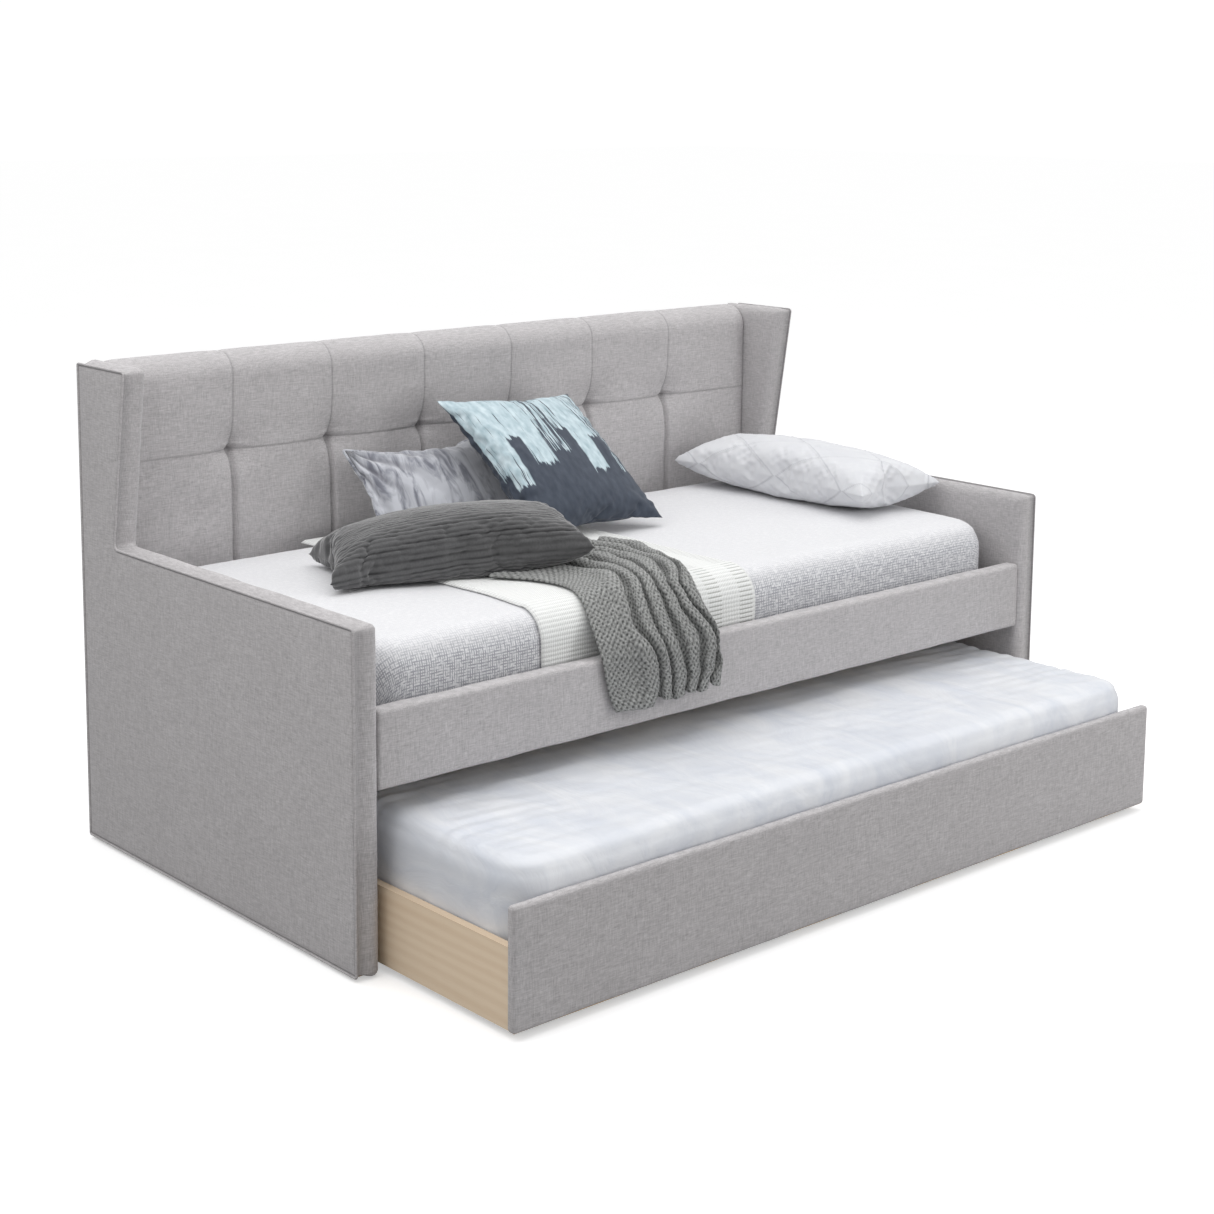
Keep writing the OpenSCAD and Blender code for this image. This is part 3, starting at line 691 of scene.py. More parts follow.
def padded_board(name, cover, body, radius, ends_closed, seed, puff):
    """A long board in foam and fabric, swept along X with soft long edges."""
    low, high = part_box(cover)
    corners = [(low.y, low.z), (high.y, low.z), (high.y, high.z), (low.y, high.z)]
    base, normal = rounded_outline(corners, [radius] * 4, edge_counts(corners, 9 * MM), arc=7)
    stations = [(x, 0.0) for x in np.linspace(low.x + radius, high.x - radius, 110)]
    if ends_closed:
        turn = [(radius * (1 - math.cos(t)), radius * (1 - math.sin(t)))
                for t in np.linspace(0, math.pi / 2, 7)[:-1]]
        stations = ([(low.x + back, shrink) for back, shrink in turn] + stations
                    + [(high.x - back, shrink) for back, shrink in reversed(turn)])
    else:
        stations = [(low.x, 0.0)] + stations + [(high.x, 0.0)]
    verts = np.vstack([np.column_stack([np.full(len(base), x), base - normal * shrink])
                       for x, shrink in stations])
    n = np.tile(normal, (len(stations), 1))
    end = np.clip(np.minimum(verts[:, 0] - low.x, high.x - verts[:, 0]) / (60 * MM), 0, 1)
    middle_z = 1 - np.abs((verts[:, 2] - low.z) / (high.z - low.z) * 2 - 1) ** 3
    grow = np.where(n[:, 0] < -0.5, puff * middle_z, 0)
    grow += unevenness(verts.T, seed, (0.24, 0.7), (0.06, 0.3))
    verts[:, 1:] += n * (grow * end)[:, None]
    make_piece(name, verts, capped_tube(len(stations), len(base)), UPHOLSTERY, body,
               "upholstery", (cover,))


padded_board("front_rail_upholstery", "front_rail_cover", "frame", 9 * MM, False, 31, 2 * MM)
padded_board("trundle_front_upholstery", "trundle_front_cover", "trundle", 8 * MM, True, 41,
             1.5 * MM)


# ------------------------------------------------------- mattress and its covers

def made_bed(low, high, corner, edge, skirt_z, counts, top_height, side_push):
    """A fitted cloth over a mattress: a rounded top grid and a skirt down the sides.

    top_height(x, y) raises the top, and side_push(along, down) moves the skirt
    out.  Returns vertices, faces and the cloth's own coordinates.
    """
    def core(x, y):
        """The nearest place from which the rounded corners are drawn."""
        return (np.clip(x, low[0] + corner, high[0] - corner),
                np.clip(y, low[1] + corner, high[1] - corner))

    nx, ny = counts
    gx, gy = np.meshgrid(np.linspace(low[0] + edge, high[0] - edge, nx),
                         np.linspace(low[1] + edge, high[1] - edge, ny))
    qx, qy = core(gx, gy)
    dx, dy = gx - qx, gy - qy
    square, circle = np.maximum(np.abs(dx), np.abs(dy)), np.hypot(dx, dy)
    shrink = np.where(circle > 1e-9, square / np.maximum(circle, 1e-9), 1.0)
    gx, gy = (qx + dx * shrink).ravel(), (qy + dy * shrink).ravel()
    top = np.column_stack([gx, gy, top_height(gx, gy)])
    rim = around(np.arange(nx * ny).reshape(ny, nx))
    edge_xy = top[rim, :2]
    out = unit(edge_xy - np.column_stack(core(*edge_xy.T)))
    run = lengths_along(edge_xy)
    depth, bend = high[2] - edge - skirt_z, edge * math.pi / 2
    # How far each ring reaches out and drops, and the cloth that leads to it
    rings = [(edge * math.sin(t), edge * (1 - math.cos(t)), edge * t)
             for t in np.linspace(0, math.pi / 2, 9)[1:]]
    rings += [(edge, edge + depth * k / 16, bend + depth * k / 16) for k in range(1, 17)]
    rings += [(edge - 9 * MM, edge + depth + 2 * MM, bend + depth + 10 * MM),
              (edge - 30 * MM, edge + depth + 1 * MM, bend + depth + 32 * MM)]
    verts, cloth = [top], [np.column_stack([gx, gy, np.zeros(len(gx))])]
    for reach, drop, used in rings:
        push = side_push(run, drop) if drop > edge * 0.4 else 0
        spot = edge_xy + out * np.reshape(reach + push, (-1, 1))
        verts.append(np.column_stack([spot, top[rim, 2] - drop]))
        cloth.append(np.column_stack([edge_xy + out * used, np.full(len(run), drop)]))
    faces = grid_faces(ny, nx)
    loops = [rim] + [nx * ny + k * len(rim) + np.arange(len(rim)) for k in range(len(rings))]
    for a, b in zip(loops, loops[1:]):
        faces += np.stack([a, b, np.roll(b, -1), np.roll(a, -1)], 1).tolist()
    return np.vstack(verts), faces, np.vstack(cloth)


def crown(x, y, low, high, rise):
    """Gentle dome over a rectangle, flat along its rim."""
    u = np.clip((x - low[0]) / (high[0] - low[0]) * 2 - 1, -1, 1)
    v = np.clip((y - low[1]) / (high[1] - low[1]) * 2 - 1, -1, 1)
    return rise * (1 - u ** 6) * (1 - v ** 4)


BED_LOW, BED_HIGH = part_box("main_coverlet")
BED_EDGE = 68 * MM         # radius over the long edges of the made bed


def bed_surface(x, y):
    """Height of the coverlet's top, inside its rounded edge."""
    uneven = unevenness((x, y), 51, (0.45, 1.4), (0.12, 0.5))
    return BED_HIGH.z - 5 * MM + crown(x, y, BED_LOW, BED_HIGH, 3 * MM) + uneven


def main_coverlet():
    def side_push(run, drop):
        fall = np.clip((drop - 0.05) / 0.12, 0, 1)
        folds = ripple((run, drop * 0.25), 0.11, 53) * 2.0 * MM
        gathers = np.abs(ripple((run, drop * 0.1), 0.03, 54)) * 1.6 * MM
        return -3 * MM + (folds + gathers) * fall

    verts, faces, cloth = made_bed(BED_LOW, BED_HIGH, 0.105, BED_EDGE, BED_LOW.z, (230, 110),
                                   bed_surface, side_push)
    piece = make_piece("main_coverlet_cloth", verts, faces, LINEN, "mattress",
                       "coverlet_weave", ("main_coverlet",), cloth=cloth)


def trundle_sheet():
    low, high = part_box("trundle_sheet")

    def top_height(x, y):
        ends = np.clip(1 - (x - low.x) / 0.35, 0, 1) + np.clip(1 - (high.x - x) / 0.35, 0, 1)
        rays = ripple((x * 0.5, y * 2.2), 0.09, 63) * 1.8 * MM * (0.3 + ends)
        uneven = unevenness((x, y), 61, (0.5, 2.0), (0.16, 1.0)) + rays
        return high.z - 5 * MM + crown(x, y, low, high, 5 * MM) + uneven

    def side_push(run, drop):
        fall = np.clip((drop - 0.03) / 0.10, 0, 1)
        return -4 * MM + ripple((run, drop * 0.2), 0.07, 64) * 1.8 * MM * fall

    verts, faces, cloth = made_bed(low, high, 0.085, 50 * MM, low.z, (230, 110),
                                   top_height, side_push)
    piece = make_piece("trundle_sheet_cloth", verts, faces, SATIN, "trundle",
                       "satin_sheet", ("trundle_sheet",), cloth=cloth)


def mattress(name, node, cover, body, edge, corner):
    """Foam core, rounded to sit just inside its cloth."""
    low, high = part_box(cover)
    gap, quilt, counts = 6 * MM, 2 * MM, (150, 70)
    inner_low = Vector((low.x + gap, low.y + gap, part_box(node)[0].z))
    inner_high = Vector((high.x - gap, high.y - gap, high.z - 10 * MM))

    def top_height(x, y):
        return inner_high.z - quilt + quilt * np.cos(x * 42) * np.cos(y * 42)

    verts, faces, _ = made_bed(inner_low, inner_high, corner, edge, inner_low.z + 4 * MM,
                               counts, top_height, lambda run, drop: 0.0)
    rim = 2 * sum(counts) - 4
    faces.append(list(range(len(verts) - rim, len(verts)))[::-1])
    verts[:, 2] = np.maximum(verts[:, 2], inner_low.z)
    piece = make_piece(name, verts, faces, TICKING, body, "mattress_ticking", (node,))


main_coverlet()
trundle_sheet()
mattress("main_mattress_core", "main_mattress", "main_coverlet", "mattress", BED_EDGE - 4 * MM,
         0.100)
mattress("trundle_mattress_core", "trundle_mattress", "trundle_sheet", "trundle", 46 * MM, 0.080)


# ------------------------------------------------------------------- knitwear

def smooth_path(points, spacing):
    """Even points along a smooth curve through given ones, and their lengths."""
    fine = resample(np.asarray(points, float), 400, 0)
    length = lengths_along(fine)
    even = np.linspace(0, length[-1], int(round(length[-1] / spacing)) + 1)
    return sample(fine, length, even), even


def resample(grid, count, axis):
    """Catmull-Rom samples of an array along one of its axes."""
    grid = np.moveaxis(grid, axis, 0)
    n = len(grid)
    t = np.linspace(0, n - 1, count)
    i = np.clip(np.floor(t).astype(int), 0, n - 2)
    f = (t - i).reshape((-1,) + (1,) * (grid.ndim - 1))
    p0, p1, p2, p3 = (grid[np.clip(i + k, 0, n - 1)] for k in (-1, 0, 1, 2))
    out = p1 + 0.5 * f * (p2 - p0 + f * (2 * p0 - 5 * p1 + 4 * p2 - p3
                                         + f * (3 * (p1 - p2) + p3 - p0)))
    return np.moveaxis(out, 0, axis)


def grid_normals(grid):
    normal = np.cross(np.gradient(grid, axis=1), np.gradient(grid, axis=0))
    return normal / np.maximum(np.linalg.norm(normal, axis=-1), 1e-12)[..., None]


def two_layers(upper, lower):
    """Vertices and faces of a closed slab between two grids of the same shape."""
    rows, cols = upper.shape[:2]
    faces = grid_faces(rows, cols)
    below = (np.array(faces)[:, ::-1] + rows * cols).tolist()
    rim = around(np.arange(rows * cols).reshape(rows, cols))
    after = np.roll(rim, -1)
    sides = np.stack([after, rim, rim + rows * cols, after + rows * cols], 1).tolist()
    return np.vstack([upper.reshape(-1, 3), lower.reshape(-1, 3)]), faces + below + sides


def sewn_grids(rows, cols):
    """Vertex numbers of two grids sewn at their border, and the faces of both.

    The upper grid's vertices come first, and then the lower one's inner ones.
    """
    upper = np.arange(rows * cols).reshape(rows, cols)
    inner = np.zeros((rows, cols), bool)
    inner[1:-1, 1:-1] = True
    lower = upper.copy()
    lower[inner] = rows * cols + np.arange(inner.sum())
    quads = [np.stack([g[:-1, :-1], g[:-1, 1:], g[1:, 1:], g[1:, :-1]], -1).reshape(-1, 4)
             for g in (upper, lower)]
    return upper, lower, inner, np.vstack([quads[0], quads[1][:, ::-1]]).tolist()


RUNNER_THICK = 8 * MM
RUNNER_TOP = BED_HIGH.z + RUNNER_THICK
RIB_PITCH = 10 * MM
BED_REST = RUNNER_TOP + 0.6 * MM           # what the cushions on the runner lie on
TUCK_GAP = 138 * MM                        # between the white pillow's tucks


def runner():
    """Ribbed strip over the mattress, its front end tucked behind the rail."""
    low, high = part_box("knit_runner")
    edge_y, edge_z = BED_LOW.y + BED_EDGE, BED_HIGH.z - BED_EDGE
    reach = BED_EDGE + 1.0 * MM
    turn = np.linspace(math.pi / 2, math.pi, 60)[1:]
    back = np.column_stack([np.linspace(high.y, edge_y, 420), np.full(420, BED_HIGH.z + 1 * MM)])
    bend = np.column_stack([edge_y + reach * np.cos(turn), edge_z + reach * np.sin(turn)])
    down = np.column_stack([np.full(30, edge_y - reach), np.linspace(edge_z, low.z, 31)[1:]])
    path = np.vstack([back, bend, down])
    run = lengths_along(path)
    bend_at = run[len(back) - 1]
    even = np.linspace(0, run[-1], int(run[-1] / (2 * MM)))
    spots = sample(path, run, even)
    tangent = unit(np.gradient(spots, axis=0))
    out = np.stack([tangent[:, 1], -tangent[:, 0]], -1)
    out *= np.sign(out[0, 1])
    uu, ss = np.meshgrid(np.linspace(-1, 1, 60), even)
    yy, zz = (np.repeat(c[:, None], uu.shape[1], 1) for c in spots.T)
    # The strip lies a little askew, and its edges wander
    half, middle = (high.x - low.x) / 2 - 8 * MM, (low.x + high.x) / 2
    x = middle + uu * half + ripple((ss, uu * 0.2), 0.35, 71) * 5 * MM
    thick = RUNNER_THICK - 1.0 * MM - np.clip((ss - bend_at) / 0.1, 0, 1) * 2.5 * MM
    rim = np.sqrt(1 - np.clip((np.abs(uu) - 0.985) / 0.015, 0, 1) ** 2)
    ribs = np.abs(np.sin(math.pi * ss / RIB_PITCH)) ** 0.8
    lift = np.where(ss < bend_at, bed_surface(x, yy) - (BED_HIGH.z - 2 * MM), 0)
    height = thick * (0.35 + 0.65 * rim) - 1.6 * MM * (1 - ribs)
    lay = np.stack([x, yy, zz + lift], -1)
    normal = np.stack([np.zeros(len(even)), out[:, 0], out[:, 1]], -1)[:, None, :]
    verts, faces = two_layers((lay + normal * height[..., None])[::-1], lay[::-1])
    cloth = np.stack([x - middle, ss, np.zeros_like(x)], -1)[::-1].reshape(-1, 3)
    piece = make_piece("knit_runner_cloth", verts, faces, RIB_KNIT, "runner", "runner_knit",
                       ("knit_runner",), cloth=np.vstack([cloth, cloth]),
                       relief=np.tile(ribs[::-1].ravel(), 2))


runner()


# -------------------------------------------------------------------- cushions

def stuffed(length, width, frames, seed, step=11 * MM):
    """A case of two sheets sewn together at the rim, blown up by the cloth solver.

    Gives the upper and lower sheets as grids of points, each scaled to a half
    length and half width of 1 and a greatest height of 1.
    """
    nx, ny = int(length / step) | 1, int(width / step) | 1
    rng = np.random.default_rng(seed)
    u, v = np.meshgrid(np.linspace(-1, 1, nx), np.linspace(-1, 1, ny))
    top, low, inner, faces = sewn_grids(ny, nx)
    bow = 3 * MM * (1 - u ** 4) * (1 - v ** 4) + rng.normal(size=u.shape) * 0.5 * MM
    above = np.stack([u * length / 2, v * width / 2, np.where(inner, bow, 0)], -1)
    verts = np.vstack([above.reshape(-1, 3), above[inner] * (1, 1, -1)])
    mesh = bpy.data.meshes.new("case")
    mesh.from_pydata(verts.tolist(), [], faces)
    case = add_object("case", mesh)
    cloth = case.modifiers.new("cloth", "CLOTH")
    for key, value in {"quality": 5, "tension_stiffness": 15, "compression_stiffness": 15,
                       "shear_stiffness": 6, "bending_stiffness": 0.4, "air_damping": 2,
                       "use_pressure": True, "uniform_pressure_force": 4}.items():
        setattr(cloth.settings, key, value)
    cloth.settings.effector_weights.gravity = 0
    cloth.collision_settings.use_collision = False
    for frame_number in range(1, frames + 1):
        bpy.context.scene.frame_set(frame_number)
    blown = case.evaluated_get(bpy.context.evaluated_depsgraph_get()).data
    spots = np.empty(len(verts) * 3)
    blown.vertices.foreach_get("co", spots)
    bpy.data.objects.remove(case)
    bpy.context.scene.frame_set(1)
    spots = spots.reshape(-1, 3)
    spots -= (spots.max(0) + spots.min(0)) / 2
    spots /= spots.max(0)
    return spots[top], spots[low]


def cushion(name, node, size, angles, material, slot, relief, rise, drop, frames, seed,
            fine, floor, droop=None, plane=0.0, fullness=1.0, ears=0.0):
    """A stuffed case set where its CAD solid is, with its relief raised on it.

    relief(u, v, upper) gives height, and painted crease shade and tone from 0 to 1,
    a tone that some materials turn into painted shade.  rise and drop are how far
    the case swells above and below its rim, plane moves the rim along the case's own
    Z, ears is how far its edges are pulled in between the corners, and nothing goes
    below floor.
    """
    low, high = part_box(node)
    sheets = stuffed(size[0], size[1], frames, seed)
    turn = np.array((Matrix.Rotation(angles[2], 3, "Z") @ Matrix.Rotation(angles[0], 3, "X")
                     @ Matrix.Rotation(angles[1], 3, "Y") @ Matrix.Rotation(angles[3], 3, "Z")))
    centre = np.array((low + high) / 2)
    nu, nv = int(size[0] / fine), int(size[1] / fine)
    u, v = np.meshgrid(np.linspace(-1, 1, nu), np.linspace(-1, 1, nv))
    layers, seams, tones = [], [], []
    for upper, sheet in zip((True, False), sheets):
        grid = resample(resample(sheet, nu, 1), nv, 0)
        grid[..., 2] = np.sign(grid[..., 2]) * np.abs(grid[..., 2]) ** fullness
        grid = grid * (size[0] / 2, size[1] / 2, rise if upper else drop)
        height, seam, tone = relief(u, v, upper)
        rim = np.minimum((1 - np.abs(u)) * size[0], (1 - np.abs(v)) * size[1]) / 2
        fade = np.clip(rim / (14 * MM), 0, 1)
        outward = grid_normals(grid) * (1 if upper else -1)
        grid = grid + outward * (height * fade)[..., None]
        grid[..., 0] -= ears * np.sign(u) * np.abs(u) ** 5 * (1 - v ** 4)
        grid[..., 1] -= ears * 0.4 * np.sign(v) * np.abs(v) ** 5 * (1 - u ** 4)
        grid[..., 2] += plane
        spots = grid @ turn.T + centre
        if droop is not None:
            spots[..., 2] -= droop(u, v)
        soft = 2.0 * MM
        over = (spots[..., 2] - floor) / soft
        spots[..., 2] = floor + soft * np.where(over > 30, over, np.log1p(np.exp(np.minimum(over, 30))))
        layers.append(spots)
        seams.append(seam)
        tones.append(tone)
    _, _, inner, faces = sewn_grids(nv, nu)

    def both(pair):
        """Values of the upper sheet and of the lower one inside its rim."""
        return np.concatenate([pair[0].reshape(inner.size, -1), pair[1][inner].reshape(
            inner.sum(), -1)]).squeeze()

    flat = np.stack([u * size[0] / 2, v * size[1] / 2, np.zeros_like(u)], -1)
    piece = make_piece(name, both(layers), faces, material, node, slot, (node,),
                       cloth=both((flat, flat + (0, 0, 1.0))), seam=both(seams),
                       relief=both(tones), front=both((np.ones_like(u), np.zeros_like(u))))
    return piece, around(layers[0])


def cord_ribs(u, v, upper):
    """Crinkled cords along the bolster, deeper on the sides than over the top."""
    x, y = u * 0.325, v * 0.18
    bend = ripple((x, y * 0.6), 0.16, 81) * 1.5 * MM + ripple((x, y * 0.3), 0.05, 82) * 0.35 * MM
    ridge = np.abs(np.sin(math.pi * (v * 0.20 + bend) / (12.5 * MM))) ** 0.6
    uneven = 0.85 + 0.25 * ripple((x, y * 2), 0.09, 83)
    crinkle = ripple((x, y * 0.5), 0.016, 84)
    pinch = np.clip((np.abs(u) - 0.72) / 0.28, 0, 1)
    folds = ripple((v * 0.6, u * 0.15), 0.12, 85)
    # The cords lie flat over the top of the bolster
    side_weight = np.clip((0.30 - v) / 0.45, 0.12, 1) if upper else np.ones_like(v)
    height = (4.6 * ridge * uneven * side_weight + 0.3 * crinkle + 3.0 * folds * pinch) * MM
    # The tone drives painted shade in the valleys and a painted highlight on the ridges, flatter over
    # the top
    return height, np.zeros_like(u), 0.62 + (ridge - 0.62) * side_weight


def pin_tucks(u, v, upper):
    """Fine stitched tucks that cross in large diamonds."""
    x, y = u * 0.155, v * 0.345
    height, seam = np.zeros_like(u), np.zeros_like(u)
    for slope in (0.62, -0.62):
        across = (x - slope * y) / math.hypot(1, slope)
        offset, shadow = (np.abs((across / TUCK_GAP + 0.5 - shift / TUCK_GAP) % 1 - 0.5) * TUCK_GAP
                          for shift in (0, 3.4 * MM))
        height += 2.0 * MM * np.exp(-(offset / (1.9 * MM)) ** 2)
        # Painted shade in a narrow line just beside each tuck
        seam = np.maximum(seam, np.exp(-(shadow / (1.7 * MM)) ** 2))
        height -= 1.6 * MM * np.exp(-(offset / (14 * MM)) ** 2)
    height += unevenness((x, y), 91, (0.13, 1.2), (0.05, 0.4))
    return height, seam, np.ones_like(u)


def corner_folds(u, v, upper):
    """Velvet pulled into folds that fan out of one corner."""
    dx, dy = (u + 1) * 0.235, (1 - v) * 0.14
    far = np.hypot(dx, dy)
    wave = np.sin(np.arctan2(dy, dx) * 17 + ripple((u * 0.235, v * 0.14), 0.2, 95) * 1.4)
    fan = wave * np.exp(-(far / 0.20) ** 2) * np.clip(far / 0.04, 0, 1)
    crush = ripple((u * 0.235, v * 0.224), 0.09, 96)
    # The second value is painted shade where the folds gather at the corner, and the tone gives painted
    # shade in the fold troughs
    return (5.5 * fan + 0.9 * crush) * MM, np.exp(-(far / 0.035) ** 2), 0.5 + 0.5 * fan


def soft_wrinkles(u, v, upper):
    """A few wrinkles that run in from the side seams."""
    x, y = u * 0.225, v * 0.225
    side = np.clip((np.abs(u) - 0.45) / 0.5, 0, 1) ** 1.5
    lines = ripple((x * 0.5, y * 2.2), 0.10, 98)
    height = (4.0 * lines * side + 0.8 * ripple((x, y), 0.15, 99)) * MM
    return height, np.zeros_like(u), np.ones_like(u)


def piping(name, rim, radius, material, body, slot):
    """A covered cord sewn round a cushion's rim."""
    rim = np.vstack([rim, rim[:1]])
    run = lengths_along(rim)
    count, sides = 420, 10
    even = np.linspace(0, run[-1], count, endpoint=False)
    path = sample(rim, run, even)
    for _ in range(3):
        path = (np.roll(path, 1, 0) + path * 2 + np.roll(path, -1, 0)) / 4
    along = unit(np.roll(path, -1, 0) - np.roll(path, 1, 0))
    outward = path - path.mean(0)
    outward = unit(outward - along * np.sum(outward * along, 1)[:, None])
    turn = np.arange(sides) * 2 * math.pi / sides
    ring = (outward[:, None] * np.cos(turn)[None, :, None]
            + np.cross(along, outward)[:, None] * np.sin(turn)[None, :, None])
    verts = (path[:, None] + ring * radius).reshape(-1, 3)
    faces = [f[::-1] for f in grid_faces(count, sides, close_rows=True, close_cols=True)]
    cloth = np.column_stack([np.repeat(even, sides), np.tile(turn, count) * radius,
                             np.zeros(count * sides)])
    piece = make_piece(name, verts, faces, material, body, slot, cloth=cloth,
                       relief=np.full(count * sides, 0.6))


charcoal, _ = cushion("charcoal_bolster", "charcoal_cushion", (0.60, 0.32),
                      (0, math.radians(-5), math.radians(-26), 0), CORDUROY,
                      "charcoal_corduroy", cord_ribs, rise=100 * MM, drop=62 * MM, frames=13,
                      seed=5, fine=3.0 * MM, floor=BED_REST, plane=-30 * MM,
                      fullness=0.78, ears=16 * MM)
_, grey_rim = cushion("grey_velvet_cushion", "grey_cushion", (0.462, 0.272),
                      (math.radians(48), 0, 0, 0), VELVET, "grey_velvet", corner_folds,
                      rise=40 * MM, drop=38 * MM, frames=12, seed=6, fine=4 * MM,
                      floor=BED_REST)
piping("grey_cushion_piping", grey_rim, 3.2 * MM, VELVET, "grey_cushion", "grey_velvet")
cushion("teal_print_cushion", "teal_cushion", (0.45, 0.45),
        (math.radians(35.8), math.radians(7.8), math.radians(-5.6), math.radians(5)), PRINT,
        "teal_print",
        soft_wrinkles, rise=54 * MM, drop=50 * MM, frames=12, seed=7, fine=4.5 * MM,
        floor=BED_REST,
        droop=lambda u, v: np.clip(-v, 0, 1) ** 1.3 * (22 - 16 * u) * MM)
cushion("white_pintuck_pillow", "white_pillow", (0.31, 0.685), (0, 0, 0, 0), PINTUCK,
        "white_pintuck", pin_tucks, rise=80 * MM, drop=72 * MM, frames=13, seed=8,
        fine=2.9 * MM, floor=BED_HIGH.z + 1.2 * MM, plane=-8 * MM, fullness=0.85)


# ----------------------------------------------------------------------- throw

THROW_WIDTH = 0.60         # cloth across the folds, laid flat
THROW_THICK = 6 * MM
STITCH = 14 * MM


def fold_section(t, folds, swing):
    """One row of the throw: a flat panel and then upright folds, of unit length."""
    turn = swing * np.clip((t - 0.10) / 0.12, 0, 1) * np.sin(2 * math.pi * folds)
    middle = (turn[1:] + turn[:-1]) / 2
    return [np.r_[0, np.cumsum(step(middle))] / (len(t) - 1) for step in (np.cos, np.sin)]


def throw():
    """Gathered knit that comes from under the bolster and hangs over the rail."""
    z = RUNNER_TOP + 1.5 * MM
    front, rail_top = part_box("front_rail_cover")[0].y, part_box("front_rail_cover")[1].z
    mattress = BED_LOW.y
    # From the hem up the rail's face, over its edge, and back across the mattress
    profile = [(front - 9 * MM, 0.424), (front - 9 * MM, 0.470), (front - 8 * MM, 0.510),
               (front - 5 * MM, rail_top + 1 * MM), (front + 8 * MM, rail_top + 27 * MM),
               (mattress - 25 * MM, rail_top + 60 * MM), (mattress + 2 * MM, z - 31 * MM),
               (mattress + 30 * MM, z - 9 * MM), (mattress + 68 * MM, z + 0.5 * MM),
               (mattress + 140 * MM, z), (mattress + 220 * MM, z), (mattress + 300 * MM, z),
               (mattress + 400 * MM, z)]
    path, run = smooth_path(profile, 2 * MM)
    tangent = unit(np.gradient(path, axis=0))
    out = np.stack([-tangent[:, 1], tangent[:, 0]], -1)
    # Left and right edges as places along X and along the path from the hem
    rows = 225
    left = resample(np.array([(-0.396, 0.000), (-0.422, 0.085), (-0.428, 0.170), (-0.412, 0.255),
                              (-0.388, 0.350), (-0.405, 0.435), (-0.460, 0.510)]), rows, 0)
    right = resample(np.array([(-0.100, 0.012), (-0.092, 0.100), (-0.112, 0.190), (-0.096, 0.275),
                               (-0.042, 0.400), (-0.012, 0.510), (-0.035, 0.605)]), rows, 0)
    cols = 216
    t = np.linspace(0, 1, cols)
    hooded = BVHTree.FromPolygons([v.co for v in charcoal.data.vertices],
                                  [tuple(f.vertices) for f in charcoal.data.polygons])
    grid, cloth = [], []
    drift = ripple((np.linspace(0, 1.2, rows),), 0.9, 103)
    for k in range(rows):
        span = np.linalg.norm(right[k] - left[k])
        spread = 1.5 + 6.0 * t + 0.22 * ripple((t * 0.6, k * 0.004), 0.35, 104) + 0.12 * drift[k]
        swings = np.linspace(0.15, 1.75, 30)
        spans = [fold_section(t, spread, a)[0][-1] for a in swings]
        swing = np.interp(-span / THROW_WIDTH, [-v for v in spans], swings)
        x, rise = fold_section(t, spread, swing)
        floor = np.array([rise[max(0, i - 26):i + 27].min() for i in range(cols)])
        floor = np.convolve(np.pad(floor, 20, mode="edge"), np.ones(41) / 41, "valid")
        rise = np.clip(rise - floor, 0, None) * THROW_WIDTH
        share = x / x[-1]
        flat = left[k] + (right[k] - left[k]) * share[:, None]
        hem = 6 * MM * math.exp(-k / 14) * ripple((t,), 0.33, 105)
        along = np.clip(flat[:, 1] + hem, 0, run[-1])
        base, normal = sample(path, run, along), sample(out, run, along)
        low_fold = 1 - 0.35 * np.clip((along - 0.27) / 0.12, 0, 1)
        lift = THROW_THICK / 2 + 1 * MM + np.minimum(rise * low_fold * 0.85, 22 * MM)
        spot = np.column_stack([flat[:, 0], base + normal * lift[:, None]])
        for i in np.nonzero(along > 0.26)[0]:
            hit = hooded.ray_cast(Vector((spot[i, 0], spot[i, 1], z - 0.02)), Vector((0, 0, 1)))[0]
            if hit is not None:
                spot[i, 2] = min(spot[i, 2], max(hit.z - THROW_THICK / 2 - 3 * MM,
                                                 z + THROW_THICK / 2 - 0.5 * MM))
        grid.append(spot)
        cloth.append(np.column_stack([t * THROW_WIDTH, along, np.zeros(cols)]))
    grid, cloth = np.array(grid), np.array(cloth)
    for _ in range(2):
        grid[1:-1] = (grid[:-2] + 2 * grid[1:-1] + grid[2:]) / 4
    normal = grid_normals(grid)
    a, b = cloth[..., 0] / STITCH, cloth[..., 1] / STITCH
    moss = 0.5 + 0.5 * np.cos(2 * math.pi * a) * np.cos(2 * math.pi * b)
    uneven = ripple((cloth[..., 0], cloth[..., 1]), 0.012, 107)
    bumps = (moss - 0.5) * 2.2 * MM + uneven * 0.5 * MM
    edge = np.clip(np.minimum(t, 1 - t) * THROW_WIDTH / (3 * MM), 0.35, 1)
    half = THROW_THICK / 2 * edge
    verts, faces = two_layers(grid + normal * (half + bumps)[..., None],
                              grid - normal * (half - bumps * 0.6)[..., None])
    # Low relief carries painted shade between the stitches
    relief = np.clip(moss + uneven * 0.12, 0, 1).ravel()
    piece = make_piece("knit_throw_cloth", verts, faces, MOSS, "throw", "throw_knit",
                       ("knit_throw",), cloth=np.tile(cloth.reshape(-1, 3), (2, 1)),
                       relief=np.tile(relief, 2))


throw()


# ------------------------------------------------------- floor, lights and camera

def softbox(name, place, aim, size, power):
    """A soft rectangular light that the camera doesn't see."""
    light = bpy.data.lights.new(name, "AREA")
    light.shape, light.size, light.size_y = "RECTANGLE", size[0], size[1]
    light.energy = power
    lamp = add_object(name, light)
    lamp.location = place
    lamp.rotation_euler = (Vector(aim) - Vector(place)).to_track_quat("-Z", "Y").to_euler()
    lamp.visible_camera = False


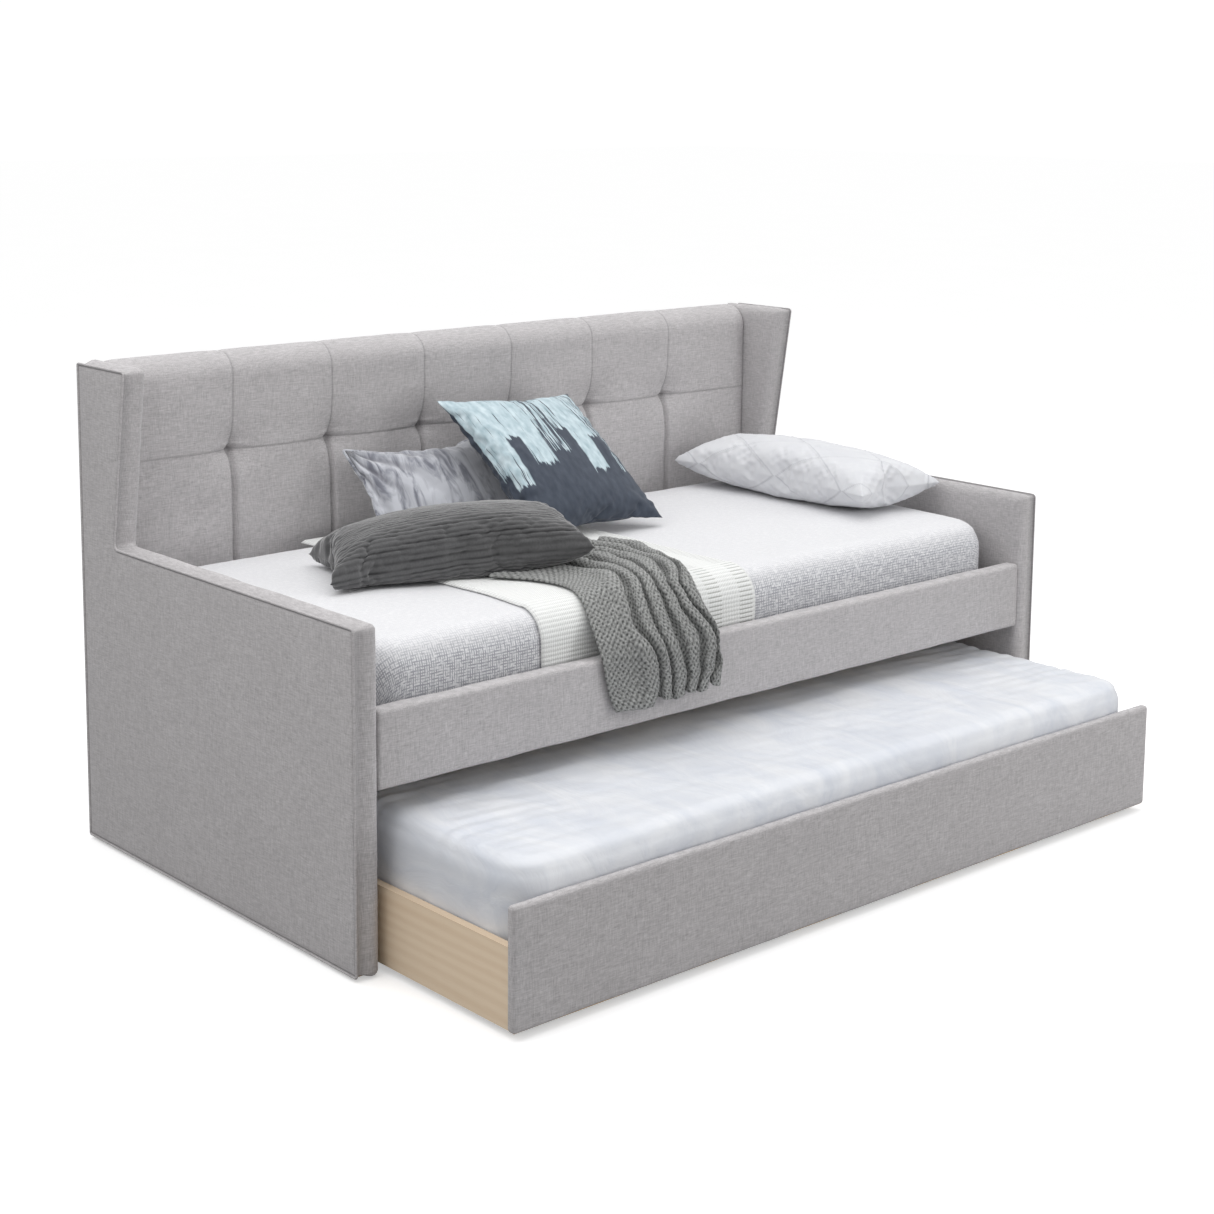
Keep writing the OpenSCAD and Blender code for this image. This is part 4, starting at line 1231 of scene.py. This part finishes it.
def studio():
    """White floor running into a white surround, under soft lights.

    Both look whiter to the camera than the light they give, so that pale cloth
    keeps its tone.
    """
    world_light, world_seen = 0.71, 1.02
    floor_bounce, floor_glow = 0.38, 0.42
    mesh = bpy.data.meshes.new("studio_floor")
    half = 40.0
    mesh.from_pydata([(-half, -half, 0), (half, -half, 0), (half, half, 0), (-half, half, 0)],
                     [], [(0, 1, 2, 3)])
    floor = add_object("studio_floor", mesh)
    paint = Shader("studio_floor", roughness=0.9, specular=0.0)
    mottle = paint.noise(paint.place(), scale=1.5)
    seen = paint.node("ShaderNodeLightPath").outputs["Is Camera Ray"]
    pale = paint.mix(mottle, (0.80, 0.80, 0.80), (0.82, 0.82, 0.82))
    paint.put("Base Color", paint.mix(seen, (floor_bounce,) * 3, pale))
    paint.put("Emission Color", (1.0, 1.0, 1.0, 1.0))
    paint.put("Emission Strength", paint.times(seen, floor_glow))
    mesh.materials.append(paint.material)

    world = bpy.data.worlds.new("studio")
    bpy.context.scene.world = world
    world.use_nodes = True
    tree = world.node_tree
    background = tree.nodes["Background"]
    background.inputs["Color"].default_value = (1.0, 1.0, 1.0, 1.0)
    strength = tree.nodes.new("ShaderNodeMapRange")
    strength.inputs["To Min"].default_value = world_light
    strength.inputs["To Max"].default_value = world_seen
    seen = tree.nodes.new("ShaderNodeLightPath").outputs["Is Camera Ray"]
    tree.links.new(seen, strength.inputs["Value"])
    tree.links.new(strength.outputs[0], background.inputs["Strength"])

    softbox("overhead", (0.0, 0.2, 4.2), (0.0, 0.2, 0.0), (4.5, 3.5), 86.0)
    softbox("key", (2.6, -3.8, 2.2), (0.0, 0.1, 0.6), (1.6, 1.4), 36.0)
    softbox("low", (1.7, -3.2, 0.5), (0.7, -0.4, 0.15), (1.2, 0.5), 7.0)
    softbox("side", (-2.3, -0.2, 2.0), (-1.07, 0.1, 1.0), (1.1, 0.9), 8.0)


def camera():
    """Eye-height view from the left of the open front, with a shifted lens."""
    place = Vector((-3.3593, -3.5734, 1.7474))
    azimuth, down, roll = math.radians(40.436), math.radians(8.478), math.radians(0.222)
    forward = Vector((math.sin(azimuth) * math.cos(down), math.cos(azimuth) * math.cos(down),
                      -math.sin(down)))
    right = Vector((math.cos(azimuth), -math.sin(azimuth), 0.0))
    up = right.cross(forward)
    right, up = (right * math.cos(roll) + up * math.sin(roll),
                 up * math.cos(roll) - right * math.sin(roll))
    data = bpy.data.cameras.new("camera")
    data.sensor_width = 36.0
    data.lens = 63.11
    data.shift_x, data.shift_y = 0.0552, -0.1705
    data.clip_end = 200.0
    eye = add_object("camera", data)
    matrix = Matrix((right, up, -forward)).transposed().to_4x4()
    matrix.translation = place
    eye.matrix_world = matrix
    bpy.context.scene.camera = eye


bpy.context.scene.view_settings.view_transform = "Standard"
studio()
camera()
